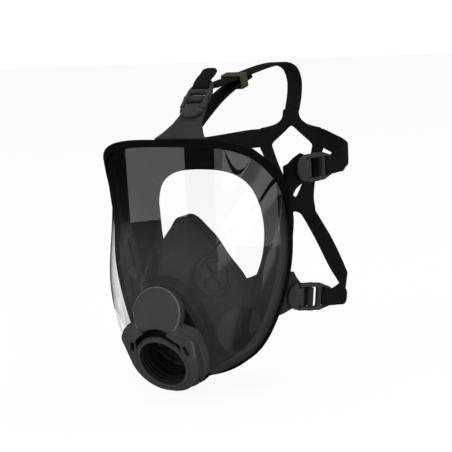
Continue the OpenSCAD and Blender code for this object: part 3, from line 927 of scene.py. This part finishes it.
# ------------------------------------------------------------------ connector and its valves
def housing(wx, wy, wz):
    x, y, z = to_local(wx, wy, wz, PORT)
    lx, ly, lz = to_local(wx, wy, wz, LOBE)
    body = merge(cylinder(x, y, z, 31, -24, -14, 0.8),
                 cylinder(x, y - 6, z, 25, -32, -22, 1.0), 1.0)
    body = merge(body, cylinder(x, y - 8, z, 18.4, -46, -30, 1.0), 1.0)
    body = merge(body, cylinder(lx, ly, lz, 19.0, -18, -7, 0.8), 1.0)
    body = carve(body, cylinder(x, y, z, 24.3, -26, 34))
    body = carve(body, cylinder(x, y - 8, z, 15.8, -60, 0))
    return carve(body, cylinder(lx, ly, lz, 15.3, -30, 10))


piece("connector_housing",
      surface_nets(housing, (-32, -3, -26), (32, 50, 63), 0.7),
      HOUSING_BLACK, "housing_body")

THREAD_PITCH, THREAD_HEIGHT = 3.63, 0.95
THREAD_BACK, THREAD_FRONT, THREAD_FADE = -13.6, -1.4, 1.2


def thread(r, z, angle):
    """Inner wall raised into a thread that fades out at both ends."""
    fade = (clip((z - THREAD_BACK)/THREAD_FADE, 0, 1)
            * clip((THREAD_FRONT - z)/THREAD_FADE, 0, 1))
    phase = (z/THREAD_PITCH - angle/(2*np.pi)) % 1.0
    ridge = 0.5 - 0.5*np.cos(2*np.pi*phase)
    return where(r < 20.9, r - fade*THREAD_HEIGHT*ridge, r)


def make_thread_ring():
    profile = [[21.1, -17], [21.1, -15.0]]
    profile += [[20.3, z] for z in linspace(-15, -0.9, 64)]
    profile += [[20.9, -0.25], [21.5, 0.0], [23.2, 0.0], [23.8, -0.2], [24.0, -0.8],
                [24.0, -8], [22.2, -8.3], [22.2, -17]]
    solid = lathe(profile, 160, thread)
    ob = piece("connector_thread_ring", placed(solid, PORT), RING_GREY,
               "port_ring")
    x, y, z = solid[0].T
    # painted highlight on the front face of the ring's rim
    paint(ob, "edge", (hypot(x, y) > 21.2)*(z > -0.5))


make_thread_ring()
piece("connector_gasket",
      placed(washer(17.5, 20.9, -17.1, -15.1, rounding=0.6, corner_steps=4), PORT),
      GASKET_BLACK, "port_gasket")


def inhale_cage(x, y, z):
    """Ring with six spokes, a round hoop and a hub."""
    body = carve(cylinder(x, y, z, 24, -20.2, -17.2, 0.4), cylinder(x, y, z, 16, -30, 0))
    for degrees in (0, 60, 120):
        u, v = spin(x, y, degrees)
        body = merge(body, box(u, v, z, (0, 0, -18.8), (32.6, 1.8, 2), 0.5), 0.8)
    hoop = np.abs(hypot(hypot(x, y) - 9.4, z + 18.6)) - 0.9
    body = merge(body, hoop, 0.6)
    return merge(body, cylinder(x, y, z, 3.2, -22.6, -16.8, 0.8), 0.8)


def exhale_seat(x, y, z):
    """Ring with four spokes and a hub."""
    body = carve(cylinder(x, y, z, 15.1, -12, -9.5, 0.4), cylinder(x, y, z, 11, -30, 0))
    spokes = minimum(box(x, y, z, (0, 0, -10.9), (22.6, 1.8, 1.8), 0.4),
                     box(x, y, z, (0, 0, -10.9), (1.8, 22.6, 1.8), 0.4))
    body = merge(body, spokes, 0.6)
    return merge(body, cylinder(x, y, z, 2.2, -12, -6.5, 0.6), 0.5)


cage = surface_nets(inhale_cage, (-25, -25, -23), (25, 25, -16), 0.5)
piece("inhale_valve_cage", placed(cage, PORT), RING_GREY, "inhale_seat",
      sharp=45)
piece("inhale_valve_flap", placed(washer(3.1, 18, -21.3, -20.4, rounding=0.3), PORT),
      FLAP_RUBBER, "inhale_disc", body="inhale_flap", sharp=45)
seat = surface_nets(exhale_seat, (-16, -16, -13), (16, 16, -6), 0.5)
piece("exhale_valve_seat", placed(seat, LOBE), RING_GREY, "exhale_seat",
      sharp=45)
piece("exhale_valve_flap", placed(washer(2.3, 13, -9.3, -8.4, rounding=0.3), LOBE),
      FLAP_RUBBER, "exhale_disc", body="exhale_flap", sharp=45)

# ------------------------------------------------------------------ lugs
PIN_X, PIN_Z = 21, 2.6                         # hinge pin between lug and buckle
# x, width, y of the centre line
LUG_OUTLINES = {
    "forehead": [[-22, 52, 0], [-14, 40, 0], [-5, 30, 0], [4, 25, 0], [14, 22, 0],
                 [20.6, 19, 0]],
    "temple": [[-13, 36, -13], [-7, 31, -9], [0, 27, -3], [8, 26, 0.5], [14, 22, 0],
               [20.6, 19, 0]],
    "cheek": [[-9, 40, 2], [0, 36, 3.5], [7, 32, 5], [10, 27, 2.5], [15, 21, 0],
              [20.6, 19, 0]]}


def lug_solid(stations):
    upper = [[x, centre + width/2] for x, width, centre in stations]
    lower = [[x, centre - width/2] for x, width, centre in stations]
    outline = array(upper + lower[::-1], float)

    def field(x, y, z):
        from_pin = hypot(x - PIN_X, z - PIN_Z)
        body = extrude(polygon(x, y, outline) + 0.6, z, -3, 0, 0.9)
        body = merge(body, extrude(from_pin - 3.1, y, -7.5, 7.5, 0.5), 1.6)
        # shallow rib down the middle
        body = merge(body, box(x, y, z, (8, 0, -0.2), (22, 5.0, 1.4), 0.6), 1.0)
        return carve(body, from_pin - 1.52)

    low = (outline[:, 0].min() - 1, outline[:, 1].min() - 1, -4)
    high = (25, outline[:, 1].max() + 1, 6.2)
    return surface_nets(field, low, high, 0.65)


lugs = {place: lug_solid(stations) for place, stations in LUG_OUTLINES.items()}
for place, side, pose, mirror in MOUNTS:
    piece(place + "_lug" + side, placed(lugs[place], pose, mirror),
          LUG_RUBBER if place == "forehead" else SKIRT_GREY,
          "lug_" + place + side, sharp=45)

# ------------------------------------------------------------------ buckles
BUCKLE_OUTLINE = [[10.4, -11.5], [30, -11.5], [40, -8.0], [40, 8.0], [30, 11.5], [10.4, 11.5]]
LEVER_X = 13.2                                 # lever pivot, level with the hinge pin
BUCKLE_STEP = 0.38


def buckle(x, y, z):
    from_pin = hypot(x - PIN_X, z - PIN_Z)
    body = extrude(polygon(x, y, BUCKLE_OUTLINE), z, 0.4, 4.8, 1.1)
    # cheeks swell round the pin
    body = merge(body, extrude(from_pin - 2.9, np.abs(y) - 9.8, -1.6, 1.6, 0.7), 1.2)
    # large window, then the strap slot
    body = carve(body, box(x, y, z, (17.5, 0, PIN_Z), (20, 16.2, 12), 1.2), 0.5)
    body = carve(body, box(x, y, z, (32.6, 0, PIN_Z), (3.4, 16.2, 12), 0.8), 0.4)
    # grooves on the cross bar
    for groove in (28.3, 29.6):
        body = carve(body, box(x, y, z, (groove, 0, 4.95), (0.45, 14, 0.8), 0.1), 0.2)
    body = carve(body, from_pin - 1.55)
    pivot = hypot(x - LEVER_X, z - PIN_Z) - 1.25
    return carve(body, maximum(pivot, np.abs(y) - 10.5))


def lever(x, y, z):
    def top(along):
        return 5.1 - 0.021*(along - 9)**2*where(along < 9, 1, 0.3) - 0.011*y**2

    # rounded tab up to x = 9.9, narrower tongue beyond it
    tab = (np.sqrt(where(x < 9.9, (x - 9.9)/9.7, 0)**2 + (y/11.3)**2) - 1)*9.6
    outline = where(x > 9.9, maximum(x - 12.4, np.abs(y) - 7.6), tab)
    body = carve(carve(outline + 0.2, top(x) - z, 1.4), z - 0.6, 0.9)
    # two grip grooves near the free edge
    for groove in (3.2, 5.6):
        body = carve(body, hypot(x - groove + 0.012*y*y, z - top(groove) - 0.15) - 0.55, 0.3)
    from_pivot = hypot(x - LEVER_X, z - PIN_Z)
    body = merge(body, extrude(from_pivot - 2.0, y, -7.7, 7.7, 0.4), 0.7)
    return merge(body, extrude(from_pivot - 1.2, y, -10.3, 10.3, 0.2), 0.1)


def pin_solid():
    """Pin laid along y at the hinge."""
    verts, faces = washer(AXIS, 1.5, -11.3, 11.3, rounding=[0, 0.35, 0.35, 0], segments=32)
    return outward(array([verts[:, 0] + PIN_X, verts[:, 2], verts[:, 1] + PIN_Z]).T, faces)


buckle_solid = surface_nets(buckle, (9.5, -12.5, -0.8), (41, 12.5, 6.2), BUCKLE_STEP)
lever_solid = surface_nets(lever, (-0.5, -12, 0), (15.8, 12, 6), BUCKLE_STEP)
pin = pin_solid()
pin_verts, pin_faces = [], []
for place, side, pose, mirror in MOUNTS:
    name = place + side
    piece("buckle_frame_" + name, placed(buckle_solid, pose, mirror), BUCKLE_GREY,
          "buckle_" + name, body="buckle_" + name + "_body", sharp=42)
    piece("buckle_lever_" + name, placed(lever_solid, pose, mirror), BUCKLE_GREY,
          "lever_" + name, body="lever_" + name + "_body", sharp=42)
    verts, faces = placed(pin, pose, mirror)
    start = len(verts)*len(pin_verts)
    pin_verts.append(verts)
    pin_faces += [tuple(k + start for k in f) for f in faces]
piece("hinge_pins", (np.vstack(pin_verts), pin_faces), STEEL, "buckle_pins")

# ------------------------------------------------------------------ harness
STRAP_STEPS = 120
STRAP_THICKNESS = 2.6
# strap centre lines, (x, y, z)
CROWN_PATH = [[0, 98, 215.5], [0, 108, 216.6], [0, 124, 218.5], [0, 144, 220.6],
              [0, 168, 223.8], [0, 200, 227], [0, 226, 227], [0, 244, 221.5],
              [0, 251.5, 210], [0, 250, 196], [0, 242.8, 180]]
UNDER_PATH = [[0, 60, 179], [0, 80, 190.5], [0, 105, 203], [0, 126, 210.8],
              [0, 146, 216.6], [0, 162, 220.6]]
TEMPLE_PATH = [[94.6, 130.8, 147.2], [95.5, 151, 149], [89, 173, 151], [74, 194, 153],
               [56, 213, 155], [41, 228.5, 156.8], [33, 237, 157.1], [26, 241.2, 157.2]]
# neck straps: centre line, then the direction of the width at each point; the right one is
# written on the +X side and mirrored
NECK = {
    "left": ([[96.2, 117.5, 35.5], [94, 138, 37], [84, 168, 38.5], [63, 204, 38],
              [40, 238, 42], [23, 252, 59], [15, 249, 76], [10.5, 241.3, 91]],
             [[0, 0, 1], [0.05, 0.1, 1], [0.1, 0.2, 1], [0.25, 0.3, 0.9],
              [0.5, 0.3, 0.7], [0.8, 0.1, 0.45], [0.95, 0, 0.3], [0.95, 0, 0.3]]),
    "right": ([[96.2, 117.5, 35.5], [94, 138, 32], [83, 170, 23], [63, 204, 17],
               [43, 232, 18], [27, 249, 33], [20, 254, 57], [15, 250, 76],
               [10.5, 241.3, 91]],
              [[0, 0, 1], [0.05, 0.1, 1], [0.1, 0.2, 1], [0.2, 0.3, 0.9], [0.4, 0.3, 0.8],
               [0.7, 0.2, 0.5], [0.85, 0.1, 0.4], [0.95, 0, 0.3], [0.95, 0, 0.3]])}
# back web, halves on the +X side as (x, z)
WEB_HOLE = [[0, 170], [9, 162], [22.4, 151.5], [21, 146], [16.5, 132], [8, 112], [0, 98]]
WEB_OUTLINE = [[7.5, 184], [7.8, 178], [10, 173.5], [16, 169.5], [25, 167.2], [33, 166],
               [33, 148], [30.5, 143], [27, 132], [21, 115], [19, 100], [21, 88], [14, 80],
               [5, 86], [0, 88]]
WEB_Y = 241.4                                  # the web's middle plane at x = 0
WEB_HALF_WIDTH, WEB_BOW = 33, 2.4              # how far its sides bow forward


def chaikin(points):
    """Cuts the corners of a closed polygon three times."""
    for _ in range(3):
        after = np.roll(points, -1, 0)
        points = stack([0.8*points + 0.2*after, 0.2*points + 0.8*after], 1).reshape(-1, 2)
    return points


def web_solid():
    """Flat bevelled sheet with a hole, stood upright and bowed."""
    curve = bpy.data.curves.new("web", "CURVE")
    curve.dimensions = "2D"
    curve.fill_mode = "BOTH"
    for outline in (both_sides(WEB_OUTLINE, stop=None), both_sides(WEB_HOLE)):
        outline = chaikin(outline)
        spline = curve.splines.new("POLY")
        spline.points.add(len(outline) - 1)
        for point, (x, y) in zip(spline.points, outline):
            point.co = (x*MM, y*MM, 0, 1)
        spline.use_cyclic_u = True
    curve.extrude = 0.0008
    curve.bevel_depth = 0.0004
    curve.bevel_resolution = 2
    sheet = new_object("web_tmp", curve)
    bpy.context.view_layer.update()
    mesh = bpy.data.meshes.new_from_object(sheet)
    bpy.data.objects.remove(sheet)
    x, height, depth = (array([v.co[:] for v in mesh.vertices])/MM).T
    faces = [tuple(p.vertices) for p in mesh.polygons]
    bpy.data.meshes.remove(mesh)
    verts = stack([x, WEB_Y - depth - WEB_BOW*(x/WEB_HALF_WIDTH)**2, height], 1)
    # weld the points that the fill and the bevel share
    _, first, ids = np.unique(np.round(verts, 3), axis=0, return_index=True,
                              return_inverse=True)
    ids = ids.ravel()
    faces = [tuple(dict.fromkeys(int(ids[k]) for k in f)) for f in faces]
    return outward(verts[first], [f for f in faces if len(f) > 2])


def strap_solid(path, across, width, thickness):
    """Flat strap with rounded tongue ends. across is one width direction, or one per point."""
    path = np.asarray(path, float)
    u = linspace(0, len(path) - 1, STRAP_STEPS)
    centre = catmull(path, u, closed=False)
    along = unit(np.gradient(centre, axis=0))
    across = catmull(np.broadcast_to(across, path.shape), u, closed=False)
    across = unit(across - (across*along).sum(-1, keepdims=True)*along)
    normal = np.cross(along, across)
    run = np.concatenate([[0], np.cumsum(np.linalg.norm(np.diff(centre, axis=0), axis=1))])
    rings = []
    for k in range(STRAP_STEPS):
        wide = width
        for to_end in (run[k], run[-1] - run[k]):
            if to_end < wide*0.28:
                wide *= 0.45 + 0.55*sqrt(max(0, 1 - (1 - to_end/(wide*0.28))**2))
        x, y = wide/2, thickness/2
        profile = round_poly([[-x, -y], [x, -y], [x, y], [-x, y]], thickness*0.42, 5)
        rings.append(section(centre[k], profile, across[k], normal[k]))
    return ring_solid(stack(rings), closed=False)


def strap(name, path, across, width, joint=None, mirror=False, replaces=None):
    """joint is (buckle, start, end): with a joint the strap is left unattached to any body and
    its transform is baked; the buckle and the two points are not used.
    """
    solid = placed(strap_solid(path, across, width, STRAP_THICKNESS), mirror=mirror)
    ob = piece(name, solid, STRAP_BLACK, replaces,
               body=None if joint else "mask", sharp=50)
    if joint:
        target, *ends = joint
        flip = array([-1, 1, 1]) if mirror else 1
        start, end = (tuple(array(p, float)*flip*MM) for p in ends)
        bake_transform(ob)


piece("harness_back_web", web_solid(), STRAP_BLACK)
strap("harness_crown_strap", CROWN_PATH, [1, 0, 0], width=15,
      joint=("forehead", (0, 131, 219), (0, 100, 215.7)), replaces="harness_web")
strap("harness_forehead_under_strap", UNDER_PATH, [1, 0, 0], width=16)
for side, mirror in SIDES:
    strap("harness_temple_strap_" + side, TEMPLE_PATH, [0, 0.05, 1], width=17.4,
          joint=("temple_" + side, (92, 165, 150.4), (94.7, 133, 147.3)), mirror=mirror)
    strap("harness_neck_strap_" + side, *NECK[side], width=15,
          joint=("cheek_" + side, (89, 154, 34), (95.8, 120, 35.6)), mirror=mirror)


def loop_path(lift):
    """Strap end looped over the buckle's last bar, free end outside; lift is its inner z."""
    return array([[43.6, 0, lift], [41.5, 0, lift - 0.7], [38, 0, -1.3], [34.6, 0, -1.25],
                  [32.75, 0, 0.2], [32.4, 0, 2.6], [32.75, 0, 5.1], [34.8, 0, 6.35],
                  [38, 0, 6.45], [43, 0, 5.9], [48, 0, 4.6], [56, 0, 3.9]])


for place, side, pose, mirror in MOUNTS:
    turn, origin = pose
    path = loop_path(2.0 if place == "forehead" else 0.4) @ turn.T + origin
    solid = strap_solid(path, turn[:, 1], width=14.6, thickness=2.2)
    piece("strap_loop_" + place + side, placed(solid, mirror=mirror), STRAP_BLACK,
          body="buckle_" + place + side + "_body", sharp=50)


def keeper(x, y, z):
    """Rectangular sleeve round the crown strap, with three grooves across its top."""
    body = box(x, y, z, (0, 0, 0), (21, 11, 13), 1.2)
    body = carve(body, box(x, y, z, (0, 0, 0), (17.4, 20, 10), 0.6))
    for groove in (-3.2, 0, 3.2):
        body = carve(body, hypot(y - groove, z - 6.6) - 0.7, 0.4)
    return body


sleeve = surface_nets(keeper, (-11, -6, -7), (11, 6, 7), 0.42)
piece("crown_strap_keeper", placed(sleeve, (rot(11, "X"), array([0, 141, 217.6]))),
      KEEPER_BROWN, "strap_keeper", body="keeper", sharp=42)

# CAD pieces kept as they are
for node, material in (("lens_clamp_ring", FRAME_BLACK), ("clamp_screws", STEEL)):
    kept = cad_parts[node]
    kept.data.materials.clear()
    kept.data.materials.append(material)

# ------------------------------------------------------------------ camera
AZIMUTH, ELEVATION, ROLL = 0.5402863526, 0.1539463514, -0.0590826626     # radians
CAMERA_DISTANCE = 1146.542195
CAMERA_RIGHT, CAMERA_UP = 51.1592642, 111.3937281      # shift across the view
FOCAL_LENGTH, SENSOR_WIDTH = 113.17, 36

level = array([cos(AZIMUTH), sin(AZIMUTH), 0])
view_back = array([sin(AZIMUTH)*cos(ELEVATION), -cos(AZIMUTH)*cos(ELEVATION),
                   sin(ELEVATION)])
upright = np.cross(view_back, level)
view_right = level*cos(ROLL) + upright*sin(ROLL)
view_up = -level*sin(ROLL) + upright*cos(ROLL)
camera_at = (view_back*CAMERA_DISTANCE + CAMERA_RIGHT*view_right + CAMERA_UP*view_up)*MM

camera_data = bpy.data.cameras.new("photo_camera")
camera_data.sensor_width = SENSOR_WIDTH
camera_data.lens = FOCAL_LENGTH
camera_data.clip_start = 0.01
camera = new_object("photo_camera", camera_data)
camera.matrix_world = Matrix([
    [view_right[k], view_up[k], view_back[k], camera_at[k]] for k in range(3)]
    + [[0, 0, 0, 1]])
scene.camera = camera

# ------------------------------------------------------------------ floor and world
FLOOR_HALF, FLOOR_GAP = 6, 0.001               # metres


def floor_material():
    """White to the camera, dark in mirror images, matt white to everything else."""
    material, tree = new_material("studio_white")
    matt = tree.nodes["Principled BSDF"]
    matt.inputs["Base Color"].default_value = (0.9, 0.9, 0.9, 1)
    matt.inputs["Roughness"].default_value = 0.9
    ray = add(tree, "LightPath").outputs
    glow_share = calc(tree, "MAXIMUM", calc(tree, "MULTIPLY", ray["Is Camera Ray"], 0.93),
                      ray["Is Glossy Ray"])
    # strength 1 to the camera, 0.05 otherwise
    strength = calc(tree, "MULTIPLY_ADD", ray["Is Camera Ray"], 0.95, 0.05)
    glow = add(tree, "Emission", {"Color": (1, 1, 1, 1), "Strength": strength})
    mix = add(tree, "MixShader", {0: glow_share, 1: matt.outputs[0], 2: glow.outputs[0]})
    put(tree, tree.nodes["Material Output"].inputs["Surface"], mix.outputs[0])
    return material


floor_z = CAD_BOX[0][2] - FLOOR_GAP
floor_corners = [(x*FLOOR_HALF, y*FLOOR_HALF, floor_z)
                 for x, y in ((-1, -1), (1, -1), (1, 1), (-1, 1))]
floor = new_object("studio_floor", new_mesh("floor", floor_corners, [(0, 1, 2, 3)], scale=1))
floor.data.materials.append(floor_material())


def make_world(diffuse, glossy, seen):
    """Even white surround with its own strength for each kind of ray."""
    world = bpy.data.worlds.new("studio")
    scene.world = world
    world.use_nodes = True
    tree = world.node_tree
    ray = add(tree, "LightPath").outputs
    unseen = mix_values(tree, ray["Is Glossy Ray"], diffuse, glossy)
    surround = tree.nodes["Background"].inputs
    put(tree, surround["Strength"], mix_values(tree, ray["Is Camera Ray"], unseen, seen))
    surround["Color"].default_value = (1, 1, 1, 1)


make_world(diffuse=0.55, glossy=0.05, seen=1.0)


# ------------------------------------------------------------------ lights
def area(name, at, target, size, power):
    """Soft light, unseen by the camera and in reflections; metres and watts."""
    light = bpy.data.lights.new(name, "AREA")
    light.shape = "RECTANGLE"
    light.size, light.size_y = size
    light.energy = power
    ob = new_object(name, light)
    ob.location = at
    aim = Vector(target) - Vector(at)
    ob.rotation_euler = aim.to_track_quat("-Z", "Y").to_euler()
    ob.visible_glossy = False
    ob.visible_camera = False


area("key_left", at=(-0.9, -1.3, 0.9), target=(0, 0.05, 0.08), size=(0.9, 0.9), power=14)
area("fill_right", at=(1.5, -0.6, 0.5), target=(0, 0.08, 0.08), size=(0.8, 1.0), power=6)
area("top_soft", at=(0.0, 0.2, 1.5), target=(0, 0.1, 0.1), size=(1.2, 1.2), power=8)
area("back_rim", at=(0.9, 1.4, 0.8), target=(0, 0.15, 0.12), size=(0.8, 0.6), power=6)

# ------------------------------------------------------------------ reflector cards
# Each card stands where the visor mirrors it into a chosen part of the view.
CARD_DISTANCE = 320.0                          # from the visor along the mirrored ray

# coarse smooth copy of the visor surface, which the view rays are mirrored in
MIRROR_AROUND, MIRROR_ACROSS = 256, 48
mirror_grid = visor_grid(MIRROR_AROUND, linspace(-0.12, 1, MIRROR_ACROSS))
mirror_normals = grid_normals(mirror_grid).reshape(-1, 3)
mirror_faces = [
    (i*MIRROR_ACROSS + j, after*MIRROR_ACROSS + j,
     after*MIRROR_ACROSS + j + 1, i*MIRROR_ACROSS + j + 1)
    for i, after in ((i, (i + 1) % MIRROR_AROUND) for i in range(MIRROR_AROUND))
    for j in range(MIRROR_ACROSS - 1)]
mirror_mesh = new_mesh("tmp_lens", mirror_grid.reshape(-1, 3), mirror_faces)
mirror_mesh.update()
visor_mirror = new_object("tmp_lens", mirror_mesh)
bpy.context.view_layer.update()


def mirrored_ray(x, y):
    """Hit point and mirrored direction of the view ray at (x, y) on the sensor, or None."""
    ray = Vector(view_right*x + view_up*y - view_back*FOCAL_LENGTH).normalized()
    hit, at, _, face = visor_mirror.ray_cast(Vector(camera_at), ray)
    if not hit:
        return None
    ids = list(mirror_mesh.polygons[face].vertices)
    weights = array(poly_3d_calc([mirror_mesh.vertices[v].co for v in ids], at))
    normal = unit((mirror_normals[ids]*weights[:, None]).sum(0))
    ray = array(ray)
    return array(at), ray - 2*(ray @ normal)*normal


def card_material(name, strength, spread):
    """Glow that shines only along the card's aim, within about spread degrees."""
    material, tree = new_material(name)
    tree.nodes.remove(tree.nodes["Principled BSDF"])
    aim = add(tree, "Attribute", attribute_name="aim").outputs["Vector"]
    aim = add(tree, "VectorMath", {0: aim}, operation="NORMALIZE").outputs[0]
    incoming = add(tree, "NewGeometry").outputs["Incoming"]
    aligned = calc(tree, "ABSOLUTE", dot(tree, aim, incoming))
    beam = remap(tree, aligned, source=(cos(radians(spread*1.8)), cos(radians(spread))),
                 target=(0.0, strength), kind="SMOOTHSTEP")
    # only mirror-sharp surfaces pick the cards up, so that matt rubber gets no stray sheen
    sharp_ray = add(tree, "LightPath").outputs["Is Singular Ray"]
    glow = add(tree, "Emission", {"Strength": calc(tree, "MULTIPLY", beam, sharp_ray)})
    # the card itself is clear, so that cards never hide one another
    clear = add(tree, "BsdfTransparent")
    both = add(tree, "AddShader", {0: glow.outputs[0], 1: clear.outputs[0]}).outputs[0]
    put(tree, tree.nodes["Material Output"].inputs["Surface"], both)
    return material


def card(name, corners, strength, spread, steps=41):
    """corners: top left, top right, bottom right, bottom left in mm on the sensor plane."""
    corners = array(corners, float)
    points, aims, index, faces = [], [], {}, []
    for i in range(steps):
        for j in range(steps):
            a, b = i/(steps - 1), j/(steps - 1)
            found = mirrored_ray(*((1 - a)*(1 - b)*corners[0] + (1 - a)*b*corners[1]
                                   + a*b*corners[2] + a*(1 - b)*corners[3]))
            if found:
                index[i, j] = len(points)
                points.append(found[0] + found[1]*CARD_DISTANCE*MM)
                aims.append(found[1])
    for i in range(steps - 1):
        for j in range(steps - 1):
            quad = [(i, j), (i, j + 1), (i + 1, j + 1), (i + 1, j)]
            if all(key in index for key in quad):
                faces.append([index[key] for key in quad])
    mesh = new_mesh(name, points, faces, scale=1)
    layer = mesh.attributes.new("aim", "FLOAT_VECTOR", "POINT")
    layer.data.foreach_set("vector", array(aims).ravel().astype(np.float32))
    ob = new_object(name, mesh)
    mesh.materials.append(card_material(name + "_glow", strength, spread))
    for kind in ("camera", "diffuse", "shadow", "transmission", "volume_scatter"):
        setattr(ob, "visible_" + kind, False)


card("softbox_left", [(-8.084071, 6.610619), (-3.376991, 6.769912), (-3.106195, 0.716814),
                      (-7.606195, 0.278761)], strength=1.85, spread=5.0)
card("softbox_right", [(-0.971681, 6.610619), (3.823009, 5.256637), (4.380531, -1.592920),
                       (-0.756637, -1.592920)], strength=1.12, spread=4.5, steps=57)
card("veil_left", [(-8.362832, 0.238938), (-3.106195, 0.676991), (-2.867257, -5.893805),
                   (-8.601770, -7.168142)], strength=0.13, spread=4.0)
card("veil_right", [(-3.066372, 0.955752), (4.420354, -1.632743), (3.345133, -9.079646),
                    (-2.827434, -5.893805)], strength=0.05, spread=4.0)
card("chin_glow", [(-1.194690, -11.110619), (1.353982, -10.672566), (0.159292, -11.469027),
                   (-1.353982, -12.185841)], strength=5.0, spread=4.0)
bpy.data.objects.remove(visor_mirror)

scene.view_settings.view_transform = "Standard"
